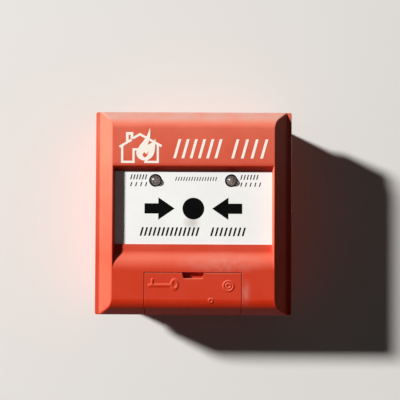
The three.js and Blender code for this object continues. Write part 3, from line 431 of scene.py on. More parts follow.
def square_to_round(x, z, half_x, half_z, radius):
    """Draws a rectangle's grid into its rounded corners: in each corner square of side r, the point
    (u, v) moves to (u·sqrt(1 - v²/2), v·sqrt(1 - u²/2))."""
    u = np.clip((np.abs(x) - half_x + radius) / radius, 0, 1)
    v = np.clip((np.abs(z) - half_z + radius) / radius, 0, 1)
    new_x = np.minimum(np.abs(x), half_x - radius) + radius * u * np.sqrt(1 - v**2 / 2)
    new_z = np.minimum(np.abs(z), half_z - radius) + radius * v * np.sqrt(1 - u**2 / 2)
    return np.sign(x) * new_x, np.sign(z) * new_z


def door_hole(cover):
    """Half the width and the upper edge of the opening that the door lies in."""
    hole_x, _, hole_z = DOOR_HIGH - cover.door_trim + cover.seam
    return hole_x, hole_z


def cover_lines(cover):
    """The grid lines of the cover's front, across and up. They lie close together where it bends, and
    the middle ones across also carry on down the bottom wall, round the screw's well."""
    half_x, _, half_z = COVER_HIGH
    window_x = half_x - cover.window_side
    inside_x = window_x - cover.side_draft
    ledge = half_x - cover.ledge
    ridge = ledge - cover.bevel_run
    hole_x, hole_z = door_hole(cover)
    end_start = half_z - END_SPAN
    across = mirrored(lines(
        0, 4, WELL_RADIUS - 0.05, 1, WELL_RADIUS, 2, WELL_MARGIN, 12, hole_x - 0.4, 2, hole_x, 3,
        hole_x + 0.3, 3, hole_x + CHEEK, 8, inside_x - 1, 2, inside_x, 5, window_x, 6, ridge + 0.5, 14,
        ledge - 0.4, 6, ledge + 0.4, 4, half_x - 0.4, 5, half_x,
    ))
    low, high = -cover.window_bottom, cover.window_top - cover.top_draft
    up = lines(
        -half_z, 5, 0.4 - half_z, 10, 3.4 - half_z, 14, -end_start, 10, hole_z - 0.3, 3, hole_z, 3,
        hole_z + 0.3, 3, low - cover.sill - cover.ramp, 28, low - cover.sill + 0.4, 5, low, 2,
        low + cover.lip, 24, high, 7, high + cover.top_draft + 0.3, 12, end_start, 14, half_z - 3.4, 10,
        half_z - 0.4, 5, half_z,
    )
    return across, up


def cover_front(cover):
    """The cover's front as a grid over X and Z: its outer and inner layers, (rows, columns, 3), and its
    quads without those of the window and the door's opening."""
    half_x, front, half_z = COVER_HIGH
    window_x = half_x - cover.window_side
    ridge = half_x - cover.ledge - cover.bevel_run
    hole_x, hole_z = door_hole(cover)
    low, high = -cover.window_bottom, cover.window_top - cover.top_draft
    edge_round, seam_round = 0.35, 0.12
    collar_margin, collar_drop = 1.6, 0.35

    across, up = cover_lines(cover)
    x, z = square_to_round(*np.meshgrid(across, up), half_x, half_z, cover.corner)
    edge = outline_distance(x, z, half_x, half_z, cover.corner)
    reach = 0.02 + 0.28 * smooth_step((z + cover.window_bottom + cover.sill + 6) / 4)
    depth = soft_min(front - body_drop(x, z, cover), window_depth(x, z, cover), reach)
    door_gap = np.hypot(np.maximum(np.abs(x) - hole_x, 0), np.maximum(z - hole_z, 0))
    depth = depth - edge_drop(edge, edge_round) - edge_drop(door_gap, seam_round)

    # The inner layer: one wall behind the outer, a thinner lip round the window, deep cheeks at the door
    end_start = half_z - END_SPAN
    inner_x = np.sign(x) * np.interp(np.abs(x), [0, ridge, half_x], [0, ridge, half_x - cover.wall])
    inner_z = np.sign(z) * np.interp(np.abs(z), [0, end_start, half_z], [0, end_start, half_z - cover.wall])
    inner = depth - cover.wall
    collar = (z > low - collar_drop) & (z < cover.window_top + collar_margin)
    collar = collar & (np.abs(x) < window_x + collar_margin)
    inner = np.where(collar, PLATE_FACE + cover.seam, inner)
    cheeks = (door_gap > 0) & (door_gap < CHEEK + 0.01)
    inner = np.where(cheeks | ((door_gap == 0) & (z < hole_z + 0.01)), front - cover.foot, inner)

    middle_x = (across[:-1] + across[1:])[None, :] / 2
    middle_z = (up[:-1] + up[1:])[:, None] / 2
    window = (np.abs(middle_x) < window_x - cover.side_draft) & (middle_z < high)
    window = window & (middle_z > low + cover.lip)
    opening = (np.abs(middle_x) < hole_x) & (middle_z < hole_z)
    kept = grid_quads(*x.shape)[~(window | opening)]
    return np.stack([x, depth, z], -1), np.stack([inner_x, inner, inner_z], -1), kept


def sink_well(x, depth, z, screw):
    """Draws the bottom wall's grid into circles about the cover screw, whose depth is given, and sinks
    the well that its head sits in."""
    bottom = z < BOTTOM_EDGE
    round_x, round_depth = round_hole(x, depth - screw, WELL_RADIUS, WELL_REACH)
    x = np.where(bottom, round_x, x)
    depth = np.where(bottom, round_depth + screw, depth)
    sunk = bottom & (np.hypot(x, depth - screw) < WELL_RADIUS - 0.02)
    return x, depth, np.where(sunk, z + WELL_DEPTH, z)


def cover_walls(cover, outer, inner):
    """The cover's walls: the outline of the front's grid carried back in rings, with the well in the
    bottom one. Gives the rings' outer and inner layers, and the quads from the outline back, without
    those of the door's opening."""
    rows, columns = outer.shape[:2]
    index = np.arange(rows * columns).reshape(rows, columns)
    loop = np.concatenate([index[0, :-1], index[:-1, -1], index[-1, :0:-1], index[:0:-1, 0]])
    rear = COVER_LOW[1]
    skirt = DOOR_LOW[1] - 0.5
    screw = cover.screw_depth
    well_start = screw + WELL_MARGIN
    wall_start = COVER_HIGH[1] - cover.rim_setback - 0.6
    ring_depth = lines(
        wall_start, 3, skirt, 3, well_start, 2, screw + WELL_RADIUS, 1, screw + WELL_RADIUS - 0.05, 8,
        screw - WELL_RADIUS + 0.05, 1, screw - WELL_RADIUS, 2, rear + 0.3, 1, rear,
    )
    loop_x, _, loop_z = outer.reshape(-1, 3)[loop].T
    rings = np.broadcast_arrays(loop_x[None, :], ring_depth[:, None], loop_z[None, :])
    x, depth, z = sink_well(*rings, screw)

    # The inner rings stand at the outer rings' depths up to the well, and spread from there to the
    # skirt and on to the inner layer behind the front's edge
    inner_x, loop_inner, inner_z = inner.reshape(-1, 3)[loop].T
    at_skirt = np.minimum(skirt, loop_inner - 0.4)
    low_share = np.clip((depth - well_start) / (skirt - well_start), 0, 1)
    high_share = np.clip((depth - skirt) / (wall_start - skirt), 0, 1)
    inner_depth = np.minimum(depth, well_start) + low_share * (at_skirt - well_start)
    inner_depth = inner_depth + high_share * (loop_inner - 0.05 - at_skirt)

    levels = np.vstack([loop, rows * columns + np.arange(x.size).reshape(x.shape)])
    after = np.roll(levels, -1, axis=1)
    walls = np.stack([after[:-1], levels[:-1], levels[1:], after[1:]], axis=-1)
    at_door = np.abs(loop_x + np.roll(loop_x, -1)) / 2 < door_hole(cover)[0]
    at_door = at_door & (loop_z < BOTTOM_EDGE) & (np.roll(loop_z, -1) < BOTTOM_EDGE)
    cut_away = at_door[None, :] & (ring_depth[:, None] > skirt - 0.01)
    inner_rings = np.broadcast_arrays(inner_x[None, :], inner_depth, inner_z[None, :])
    return np.stack([x, depth, z], -1), np.stack(inner_rings, -1), walls[~cut_away]


def cover_shape(cover):
    """The front cover as a wall of two layers: its front, and then rings down its walls."""
    outer, inner, front_quads = cover_front(cover)
    outer_rings, inner_rings, wall_quads = cover_walls(cover, outer, inner)
    return close_shell(
        np.vstack([outer.reshape(-1, 3), outer_rings.reshape(-1, 3)]),
        np.vstack([inner.reshape(-1, 3), inner_rings.reshape(-1, 3)]),
        np.vstack([front_quads, wall_quads]),
    )


def segment_distance(x, z, start, end):
    """Distance from points to a straight stroke: to start + t·(end - start), where t is a point's own
    place along the stroke, held between 0 and 1."""
    ax, az = start
    dx, dz = end[0] - ax, end[1] - az
    t = np.clip(((x - ax) * dx + (z - az) * dz) / (dx * dx + dz * dz), 0, 1)
    return np.hypot(x - ax - t * dx, z - az - t * dz)


def door_marks(x, z, door):
    """Height of the marks moulded on the door: a key, two rings for the socket behind it, and the dot
    that the mould's gate leaves. Each mark is a line of even width with soft flanks."""
    half, bold, flank = door.line / 2, 0.2, 0.3
    key_bar = segment_distance(x, z, (-20.4, -34.1), (-11.0, -34.0)) - bold * 1.4
    key_tooth = segment_distance(x, z, (-19.2, -34.1), (-19.2, -31.3)) - bold / 2
    key_bow = np.abs(np.hypot((x + 8.7) / 1.38, (z + 33.6) / 2.05) - 1) * 1.6 - bold
    from_socket = np.hypot(x - 16.8, z + 34.2)
    outer_ring, inner_ring = np.abs(from_socket - 2.3), np.abs(from_socket - 1.1)
    gate_dot = np.abs(np.hypot(x - 8.5, z + 41.2) - 0.95) + 0.1
    nearest = np.minimum.reduce([key_bar, key_tooth, key_bow, outer_ring, inner_ring, gate_dot])
    return door.relief * smooth_step((half - nearest) / flank + 0.5)


def door_inside(z, cover, door):
    """Depth and height of the door's inner layer: the outer layer's section, one wall further in."""
    arc_start, facet_start = end_section(cover)
    angle, radius = cover.end_angle, cover.end_radius - door.wall
    edge = door.wall - COVER_HIGH[2]
    arc_end = radius * math.sin(angle)
    facet = np.clip((np.abs(z) - facet_start) / (COVER_HIGH[2] - facet_start), 0, 1)
    arc = np.clip((np.abs(z) - arc_start) / cover.end_radius, 0, math.sin(angle)) * radius
    inner_z = np.where(np.abs(z) < arc_start, z, -(arc_start + arc)) + facet * (edge + arc_start + arc_end)
    facet_fall = (-edge - arc_start - arc_end) * math.tan(angle)
    depth = DOOR_HIGH[1] - cover.end_radius + np.sqrt(radius**2 - arc**2) - facet * facet_fall
    return depth, inner_z


def door_shape(cover, door):
    """The service door as a wall of two layers: it carries on the cover's form from its upper edge,
    round the lower end and down the bottom wall, with a finger notch in its upper edge."""
    half, front, top = DOOR_HIGH - cover.door_trim * np.array([1, 0, 1])
    bottom, rear = -COVER_HIGH[2], DOOR_LOW[1]
    rim = COVER_HIGH[1] - cover.rim_setback
    arc_start, facet_start = end_section(cover)
    foot = top - door.notch_depth
    draw_in, front_round, wall_round = 0.9, 0.15, 0.25

    across = mirrored(lines(0, 14, 4.0, 5, door.notch_half, 6, 7.0, 58, half - 0.3, 4, half))
    down = lines(top, 4, top - 0.3, 8, foot, 44, -arc_start, 16, -facet_start, 12, bottom + 0.3, 3, bottom)
    wall_depth = lines(rim - 0.45, 4, rear + 0.25, 3, rear)
    x, z = np.meshgrid(across, down)

    # The lines at the notch lean inwards down to its foot and stand straight again below it
    lean = np.minimum(draw_in * 2 * smooth_step((top - z) / door.notch_depth * 0.5), draw_in)
    lean = np.where(z < foot, draw_in * (1 - smooth_step((foot - z) / 5)), lean)
    pull = np.interp(np.abs(x), [0, door.notch_half, 12, half], [0, 1, 0, 0])
    x = x - np.sign(x) * lean * pull
    depth = front - body_drop(np.zeros_like(x), z, cover) + door_marks(x, z, door)
    edge = np.minimum(half - np.abs(x), top - z)
    notch_x = door.notch_half - draw_in * np.clip((top - z) / door.notch_depth, 0, 1)
    edge = np.minimum(edge, np.hypot(np.maximum(np.abs(x) - notch_x, 0), np.maximum(foot - z, 0)))
    depth = depth - edge_drop(edge, front_round)
    inner_depth, inner_z = door_inside(z, cover, door)

    # The wall along the bottom, from the front's lowest line back to the hinge
    wall_x, wall_d = np.broadcast_arrays(x[-1][None, :], wall_depth[:, None])
    side_edge = edge_drop(half - np.abs(wall_x), wall_round)
    wall_z = bottom + side_edge + edge_drop(wall_d - rear, wall_round)
    wall_inner_z = np.full_like(wall_z, door.wall - COVER_HIGH[2])
    wall_inner_d = np.interp(wall_d, [rear, rim], [rear, inner_depth[-1, 0]])
    both_x = np.vstack([x, wall_x])
    outer = np.stack([both_x, np.vstack([depth, wall_d]), np.vstack([z, wall_z])], -1)
    inner = np.stack([both_x, np.vstack([inner_depth, wall_inner_d]), np.vstack([inner_z, wall_inner_z])], -1)

    middle_x = (across[:-1] + across[1:])[None, :] / 2
    level = np.concatenate([down, np.full(len(wall_depth), bottom)])
    middle_z = (level[:-1] + level[1:])[:, None] / 2
    notch = (np.abs(middle_x) < door.notch_half) & (middle_z > foot)
    quads = grid_quads(*outer.shape[:2])[..., ::-1]
    return close_shell(outer.reshape(-1, 3), inner.reshape(-1, 3), quads[~notch])


# Meshes and materials


def mark_edges(mesh, points):
    """Gives a mesh an "edge" value at each point: how steeply the edges that meet there fall away
    behind the point's normal, taken as a mean, times six and held between 0 and 1."""
    ends = np.empty(len(mesh.edges) * 2, np.int32)
    mesh.edges.foreach_get("vertices", ends)
    a, b = ends.reshape(-1, 2).T
    normals = np.empty(len(points) * 3, np.float32)
    mesh.vertex_normals.foreach_get("vector", normals)
    normals = normals.reshape(-1, 3)
    along = points[b] - points[a]
    along /= np.maximum(np.linalg.norm(along, axis=1, keepdims=True), 1e-9)
    turn, count = np.zeros(len(points)), np.zeros(len(points))
    np.add.at(turn, a, -(normals[a] * along).sum(1))
    np.add.at(turn, b, (normals[b] * along).sum(1))
    np.add.at(count, ends, 1)
    edge = mesh.attributes.new("edge", "FLOAT", "POINT")
    edge.data.foreach_set("value", np.clip(turn / np.maximum(count, 1) * 6, 0, 1).astype(np.float32))


def place(name, shape, body, material, nodes=(), sharp=38):
    """Makes a mesh object of a shape in millimetres, smooth except across edges sharper than an angle
    in degrees, rides it on a body when one is given, and hides the CAD nodes it replaces."""
    points, faces = shape
    metres = in_frame(points)
    mesh = bpy.data.meshes.new(name)
    mesh.from_pydata(metres.tolist(), [], [face for block in faces for face in block.tolist()])
    mesh.shade_smooth()
    mesh.set_sharp_from_angle(angle=math.radians(sharp))
    mesh.update()
    mark_edges(mesh, metres)
    mesh.materials.append(material)
    obj = bpy.data.objects.new(name, mesh)
    bpy.context.scene.collection.objects.link(obj)
    if body:
        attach(obj, body)
    if nodes:
        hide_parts(*nodes)
    return obj


class Tree:
    """A node tree with short ways to add nodes and join sockets."""

    def __init__(self, tree):
        self.tree = tree

    def add(self, kind, values=None, **settings):
        """A node of a kind with its settings, and values or links for its input sockets."""
        node = self.tree.nodes.new("ShaderNode" + kind)
        for key, value in settings.items():
            setattr(node, key, value)
        for key, value in (values or {}).items():
            self.feed(node.inputs[key], value)
        return node

    def feed(self, socket, value):
        """Links a socket's output, or sets a plain value."""
        if isinstance(value, bpy.types.NodeSocket):
            self.tree.links.new(value, socket)
        else:
            socket.default_value = value

    def use(self, group, **values):
        """The outputs of a shared group, whose inputs are given by name."""
        return self.add("Group", values, node_tree=group).outputs

    def where(self):
        """The point on the object, which is also its place in the frame, in metres."""
        return self.add("TexCoord").outputs["Object"]

    def axes(self):
        """X, Y and Z of the point on the object."""
        return self.add("SeparateXYZ", {0: self.where()}).outputs

    def facing(self):
        """X, Y and Z of the way that the surface faces."""
        return self.add("SeparateXYZ", {0: self.add("NewGeometry").outputs["Normal"]}).outputs

    def math(self, operation, a, b=0.0, clamp=False):
        """One calculation with two values."""
        return self.add("Math", {0: a, 1: b}, operation=operation, use_clamp=clamp).outputs[0]

    def plus(self, a, b, clamp=False):
        """The sum of two values."""
        return self.math("ADD", a, b, clamp)

    def times(self, a, b, clamp=False):
        """The product of two values."""
        return self.math("MULTIPLY", a, b, clamp)

    def away(self, value, middle):
        """How far a value is from a middle one."""
        return self.math("ABSOLUTE", self.math("SUBTRACT", value, middle))

    def mix(self, share, a, b):
        """A colour that goes from a to b as the share goes from 0 to 1."""
        return self.add("Mix", {"Factor": share, 6: a, 7: b}, data_type="RGBA").outputs[2]

    def remap(self, value, low, high, to_low=0.0, to_high=1.0):
        """A value's range from low to high spread over another, and held inside it."""
        return self.add("MapRange", {0: value, 1: low, 2: high, 3: to_low, 4: to_high}).outputs[0]

    def noise(self, where, scale, detail=3.0, roughness=0.5):
        """Soft noise about 0.5."""
        values = {"Vector": where, "Scale": scale, "Detail": detail, "Roughness": roughness}
        return self.add("TexNoise", values).outputs["Fac"]

    def patch(self, centre, size):
        """Mask of an oval patch seen from the front: 1 in its middle, 0 past its edge, all in metres."""
        axes = self.axes()
        u = self.math("DIVIDE", self.math("SUBTRACT", axes["X"], centre[0]), size[0])
        v = self.math("DIVIDE", self.math("SUBTRACT", axes["Z"], centre[1]), size[1])
        from_centre = self.math("SQRT", self.plus(self.times(u, u), self.times(v, v)))
        return self.remap(from_centre, 0.2, 1.25, 1.0, 0.0)

    def bump(self, shader, height, distance):
        """Raises a shader's surface by a height, 0 to 1, times a distance in metres."""
        node = self.add("Bump", {"Height": height, "Distance": distance, "Strength": 1.0})
        self.feed(shader.inputs["Normal"], node.outputs[0])


def new_material(name, **shader_values):
    """A material with its tree and its Principled shader, whose constant values are set on the
    shader's own sockets."""
    material = bpy.data.materials.new(name)
    material.use_nodes = True
    shader = material.node_tree.nodes["Principled BSDF"]
    for key, value in shader_values.items():
        shader.inputs[key.replace("_", " ")].default_value = value
    return material, Tree(material.node_tree), shader


def mix_surface(material, tree, share, a, b):
    """Shows shader b in place of shader a by a share."""
    mixed = tree.add("MixShader", {0: share, 1: a.outputs[0], 2: b.outputs[0]})
    tree.feed(material.node_tree.nodes["Material Output"].inputs["Surface"], mixed.outputs[0])


def new_group(name, inputs, outputs):
    """An empty shader node group, its tree, and the sockets that its inputs come from and that its
    outputs go to. An input is a name and a default, with None for a colour; an output is a name and
    its kind."""
    group = bpy.data.node_groups.new(name, "ShaderNodeTree")
    for label, default in inputs.items():
        kind = "NodeSocketColor" if default is None else "NodeSocketFloat"
        socket = group.interface.new_socket(label, in_out="INPUT", socket_type=kind)
        if default is not None:
            socket.default_value = default
    for label, kind in outputs.items():
        group.interface.new_socket(label, in_out="OUTPUT", socket_type="NodeSocket" + kind)
    given, wanted = group.nodes.new("NodeGroupInput"), group.nodes.new("NodeGroupOutput")
    return group, Tree(group), given.outputs, wanted.inputs


def moulded_grain():
    """Height of a fine spark-eroded mould texture: small noise, with a little broad waviness."""
    group, tree, given, wanted = new_group(
        "Moulded grain", {"Scale": 1400.0, "Waviness": 0.4}, {"Height": "Float"}
    )
    where = tree.where()
    fine = tree.noise(where, given["Scale"], 4.0, 0.6)
    broad = tree.noise(where, tree.times(given["Scale"], 0.04), 2.0)
    tree.feed(wanted["Height"], tree.plus(fine, tree.times(broad, given["Waviness"])))
    return group


def patchy_colour():
    """A colour mixed with a second one by broad noise, and mottled by fine noise."""
    group, tree, given, wanted = new_group(
        "Patchy colour", {"Colour": None, "Second": None, "Amount": 0.3, "Scale": 60.0}, {"Colour": "Color"}
    )
    where = tree.where()
    broad = tree.remap(tree.noise(where, given["Scale"], 5.0, 0.6), 0.35, 0.7)
    fine = tree.noise(where, tree.times(given["Scale"], 14.0), 2.0)
    share = tree.times(tree.plus(broad, tree.times(fine, 0.25)), given["Amount"])
    tree.feed(wanted["Colour"], tree.mix(share, given["Colour"], given["Second"]))
    return group


def settled_dust():
    """Mask of dust: more on faces that look up, broken up by noise, with a thin film elsewhere."""
    group, tree, given, wanted = new_group(
        "Settled dust", {"Upward": 0.6, "Film": 0.1, "Scale": 90.0}, {"Mask": "Float"}
    )
    cloud = tree.remap(tree.noise(tree.where(), given["Scale"], 6.0, 0.65), 0.38, 0.68)
    settled = tree.times(tree.remap(tree.facing()["Z"], 0.3, 0.95), given["Upward"])
    settled = tree.times(settled, tree.remap(cloud, 0.0, 1.0, 0.55, 1.0))
    tree.feed(wanted["Mask"], tree.plus(settled, tree.times(cloud, given["Film"]), clamp=True))
    return group


def rubbed_edges():
    """Mask of rubbed edges: the "edge" value of the mesh, broken up by noise."""
    group, tree, given, wanted = new_group("Rubbed edges", {"Amount": 0.5, "Scale": 220.0}, {"Mask": "Float"})
    edge = tree.add("Attribute", attribute_name="edge").outputs["Fac"]
    broken = tree.remap(tree.noise(tree.where(), given["Scale"], 4.0, 0.7), 0.4, 0.62)
    tree.feed(wanted["Mask"], tree.times(tree.times(edge, broken), given["Amount"], clamp=True))
    return group


def worn_metal():
    """Roughness and height of worn metal: noise drawn out along X."""
    group, tree, given, wanted = new_group(
        "Worn metal", {"Roughness": 0.3, "Scale": 500.0}, {"Roughness": "Float", "Height": "Float"}
    )
    drawn_out = tree.add("Mapping", {"Vector": tree.where(), "Scale": (0.12, 1.0, 1.0)}).outputs[0]
    scratches = tree.noise(drawn_out, given["Scale"], 5.0, 0.7)
    wear = tree.remap(scratches, 0.3, 0.7, -0.08, 0.14)
    tree.feed(wanted["Roughness"], tree.plus(given["Roughness"], wear))
    tree.feed(wanted["Height"], scratches)
    return group


def shade(colour, share, lift=0.0):
    """A linear colour times a share, plus a little."""
    return (*(share * value + lift for value in tuple(colour)[:3]), 1.0)


class Finishes:
    """The shared node groups and the materials made with them, each made once."""

    def __init__(self, colours):
        self.colours = colours
        self.grain = moulded_grain()
        self.patchy = patchy_colour()
        self.dust = settled_dust()
        self.rubbed = rubbed_edges()
        self.worn = worn_metal()

    @cache
    def plastic(
        self, name, colour, second, roughness=0.45, amount=0.25, grain=1400.0, depth=0.00004,
        upward=0.0, film=0.0, shine=0.5, smudge=None,
    ):
        """Moulded plastic: patchy colour and a fine grain, with dust and a smudge where asked for."""
        material, tree, shader = new_material(name, Specular_IOR_Level=shine)
        base = tree.use(self.patchy, Colour=colour, Second=second, Amount=amount)["Colour"]
        if smudge:
            cloud = tree.remap(tree.noise(tree.where(), 420.0, 5.0, 0.65), 0.3, 0.7, 0.35, 0.8)
            base = tree.mix(tree.times(tree.patch(*smudge), cloud), base, self.colours.grime)
        if upward or film:
            dust = tree.use(self.dust, Upward=upward, Film=film)["Mask"]
            base = tree.mix(dust, base, self.colours.dust)
            roughness = tree.remap(dust, 0.0, 1.0, roughness, 0.85)
        tree.feed(shader.inputs["Base Color"], base)
        tree.feed(shader.inputs["Roughness"], roughness)
        tree.bump(shader, tree.use(self.grain, Scale=grain)["Height"], depth)
        return material

    @cache
    def metal(self, name, colour, roughness=0.3, scale=500.0):
        """Metal with drawn-out wear."""
        material, tree, shader = new_material(name, Metallic=1.0)
        worn = tree.use(self.worn, Roughness=roughness, Scale=scale)
        base = tree.use(self.patchy, Colour=colour, Second=shade(colour, 0.72), Amount=0.5, Scale=300.0)
        tree.feed(shader.inputs["Base Color"], base["Colour"])
        tree.feed(shader.inputs["Roughness"], worn["Roughness"])
        tree.bump(shader, worn["Height"], 0.00001)
        return material

    @cache
    def red_cover(self):
        """The red of the cover and its door: paler towards the top, with painted light that makes faces
        looking up or left paler, dust on the upper end, on the ramp and beside the door's seam, painted shade
        where the window's upper wall meets the plate, rubbed edges and a fine grain."""
        material, tree, shader = new_material("red_cover", Specular_IOR_Level=0.06)
        colours = self.colours
        where, axes, facing = tree.where(), tree.axes(), tree.facing()

        # Paler towards the top, on the left edge and on the sill; and painted light and shade: paler on faces
        # that look up or left, towards the key lamp, and less pale on faces that look down
        height = tree.remap(axes["Z"], -0.02, 0.042, 0.12, 0.72)
        left_edge = tree.remap(axes["X"], -0.043, -0.0465, 0.0, 0.16)
        painted_light_from_above = tree.remap(facing["Z"], -0.4, 0.8, -0.5, 1.0)
        painted_light_from_left = tree.remap(facing["X"], -0.7, 0.0, 0.4, 0.0)
        in_window = tree.remap(tree.math("ABSOLUTE", axes["X"]), 0.0375, 0.038, 1.0, 0.0)
        sill = tree.times(in_window, tree.remap(tree.away(axes["Z"], -0.0163), 0.001, 0.0028, 0.14, 0.0))
        paleness_and_painted_light = tree.plus(tree.plus(height, tree.plus(left_edge, sill)), tree.plus(painted_light_from_above, painted_light_from_left))
        cloud = tree.remap(tree.noise(where, 45.0, 5.0, 0.6), 0.3, 0.7, 0.75, 1.1)
        patchy = tree.use(self.patchy, Colour=colours.red, Second=colours.pale_red, Amount=0.05, Scale=70.0)
        base = tree.mix(tree.times(paleness_and_painted_light, cloud, clamp=True), patchy["Colour"], colours.pale_red)
        base = tree.mix(tree.use(self.rubbed, Amount=0.16)["Mask"], base, colours.pale_red)
        # Painted shade: a dark red-brown line along the foot of the window's upper wall, where it meets the
        # plate
        painted_shade_line = tree.remap(tree.away(axes["Z"], 0.0202), 0.0004, 0.0015, 0.65, 0.0)
        base = tree.mix(tree.times(in_window, painted_shade_line), base, tone(52, 12, 8))

        # Two patches of wall dust: on the right of the ramp and at the right seam of the door
        on_ramp = tree.patch((0.014, -0.0235), (0.018, 0.0048))
        at_seam = tree.patch((0.0252, -0.0375), (0.0022, 0.006))
        spots = tree.math("MAXIMUM", on_ramp, at_seam)
        broken = tree.remap(tree.noise(where, 260.0, 6.0, 0.7), 0.35, 0.65, 0.04, 0.26)
        upward = tree.remap(axes["Z"], -0.02, 0.03, 0.1, 0.9)
        dust = tree.use(self.dust, Upward=upward, Film=0.012, Scale=80.0)["Mask"]
        dust = tree.plus(dust, tree.times(spots, broken), clamp=True)
        tree.feed(shader.inputs["Base Color"], tree.mix(dust, base, colours.dust))
        tree.feed(shader.inputs["Roughness"], tree.remap(dust, 0.0, 1.0, 0.42, 0.85))
        tree.bump(shader, tree.use(self.grain, Scale=1500.0)["Height"], 0.00005)
        return material

    @cache
    def print_ink(self, name, colour):
        """Screen print: nearly even colour, a little thin in places."""
        material, tree, shader = new_material(name, Specular_IOR_Level=0.04)
        thin = shade(colour, 0.88, 0.004)
        base = tree.use(self.patchy, Colour=colour, Second=thin, Amount=0.35, Scale=150.0)
        tree.feed(shader.inputs["Base Color"], base["Colour"])
        rough = tree.remap(tree.noise(tree.where(), 900.0), 0.3, 0.7, 0.45, 0.65)
        tree.feed(shader.inputs["Roughness"], rough)
        return material

    @cache
    def clear_lamp(self):
        """Clear resin: a glassy shader whose surface is faintly uneven, tinted grey and darker round the foot
        of the dome as painted shade, and dimmed where light passes through to the plate."""
        material, tree, shader = new_material(
            "clear_lamp", Transmission_Weight=0.92, IOR=1.5, Specular_IOR_Level=0.25
        )
        # Painted shade: the resin is tinted grey in front and near black towards the foot of the dome, for
        # the dark inside seen through it
        shaded_behind, clear_before = 2.4, 0.5
        tip = -LAMP_HIGH[1]
        clear = tree.remap(tree.axes()["Y"], (shaded_behind + tip) * MM, (clear_before + tip) * MM)
        base = tree.mix(clear, (0.1, 0.085, 0.08, 1.0), (0.66, 0.62, 0.6, 1.0))
        tree.feed(shader.inputs["Base Color"], base)
        ripple = tree.noise(tree.where(), 700.0)
        tree.feed(shader.inputs["Roughness"], tree.remap(ripple, 0.3, 0.7, 0.24, 0.34))
        tree.bump(shader, ripple, 0.00002)
        let_in = tree.add("BsdfTransparent", {"Color": (0.16, 0.14, 0.13, 1.0)})
        shadow_ray = tree.add("LightPath").outputs["Is Shadow Ray"]
        mix_surface(material, tree, shadow_ray, shader, let_in)
        return material


@cache
def finishes():
    """The one set of finishes, made when the first operator asks for it."""
    return Finishes(colours_of(bpy.context.scene.call_point_finish))


# Operators


def boss_shape(cover):
    """The four screw bosses inside the cover: tubes with softened feet that reach its skin."""
    radius, bore, chamfer, into_skin = 2.9, 1.4, 0.2, 0.4
    from_side, from_end = 7.1, 16.2
    inner, reach = COVER_HIGH[1] - cover.foot, COVER_HIGH[1] - cover.wall
    profile = np.array([
        [radius - chamfer, inner], [bore + chamfer, inner], [bore, inner + chamfer], [bore, reach],
        [radius, reach], [radius, inner + chamfer],
    ])
    points, faces = gather([
        turned(profile, 40, (sx * (COVER_HIGH[0] - from_side), 0, sz * (COVER_HIGH[2] - from_end)), "depth")
        for sx in (-1, 1)
        for sz in (-1, 1)
    ])
    skin = COVER_HIGH[1] - body_drop(points[:, 0], points[:, 2], cover) - cover.wall + into_skin
    points[:, 1] = np.where(points[:, 1] > reach - 0.1, skin, points[:, 1])
    return points, faces


class CALLPOINT_OT_cover(bpy.types.Operator):
    """Builds the moulded front cover and the screw bosses inside it"""

    bl_idname = "call_point.cover"
    bl_label = "Front cover"

    def execute(self, context):
        cover = millimetres(context.scene.call_point_cover)
        red = finishes().red_cover()
        place("moulded_cover", cover_shape(cover), "housing", red, ["front_cover"])
        place("cover_bosses", boss_shape(cover), "housing", red)
        return {"FINISHED"}


def knuckle_shape(cover):
    """The tube along the door's hinge pin, with a softened edge at each end."""
    radius, bore, chamfer, bore_chamfer = 1.8, 1.1, 0.2, 0.1
    half = DOOR_HIGH[0] - cover.door_trim
    middle = (PIN_LOW + PIN_HIGH) / 2
    profile = np.array([
        [radius, chamfer - half], [radius, half - chamfer], [radius - chamfer, half],
        [bore + bore_chamfer, half], [bore, half - chamfer], [bore, chamfer - half],
        [bore + bore_chamfer, -half], [radius - chamfer, -half],
    ])
    return turned(profile, 48, (0, middle[1], middle[2]), "x")


class CALLPOINT_OT_door(bpy.types.Operator):
    """Builds the service door and the knuckle that its hinge pin runs in"""

    bl_idname = "call_point.door"
    bl_label = "Service door"

    def execute(self, context):
        cover = millimetres(context.scene.call_point_cover)
        door = millimetres(context.scene.call_point_door)
        red = finishes().red_cover()
        place("moulded_door", door_shape(cover, door), "service_door", red, ["service_door"])
        place("door_knuckle", knuckle_shape(cover), "service_door", red)
        return {"FINISHED"}


def circle_points(x, z, radius):
    """72 points round a circle in X and Z, counterclockwise."""
    angle = np.arange(72) * 2 * np.pi / 72
    return np.stack([x + radius * np.cos(angle), z + radius * np.sin(angle)], 1)


def arrow_points(tip, tail, z):
    """A block arrow that lies along X, with its head over 54% of its length."""
    shaft_half, head_half = 2.45, 5.35
    way = np.sign(tip - tail)
    neck = tip - way * 0.54 * abs(tip - tail)
    points = np.array([
        [tail, z - shaft_half], [neck, z - shaft_half], [neck, z - head_half], [tip, z],
        [neck, z + head_half], [neck, z + shaft_half], [tail, z + shaft_half],
    ])
    return points if way > 0 else points[::-1]


def slanted_bars(*rows):
    """Outlines of rows of slanted bars. A row is its left, right, low and high edges, the pitch and
    width of its bars, and is filled from end to end at the pitch or a little more. Each bar leans to
    the right by 0.28 of its height."""
    outlines = []
    for left, right, low, high, pitch, width in rows:
        lean = 0.28 * (high - low)
        room = right - left - lean - width
        bar = np.array([[0, low], [width, low], [width + lean, high], [lean, high]])
        for start in left + np.linspace(0, room, int(room / pitch) + 1):
            outlines.append(bar + [start, 0])
    return outlines


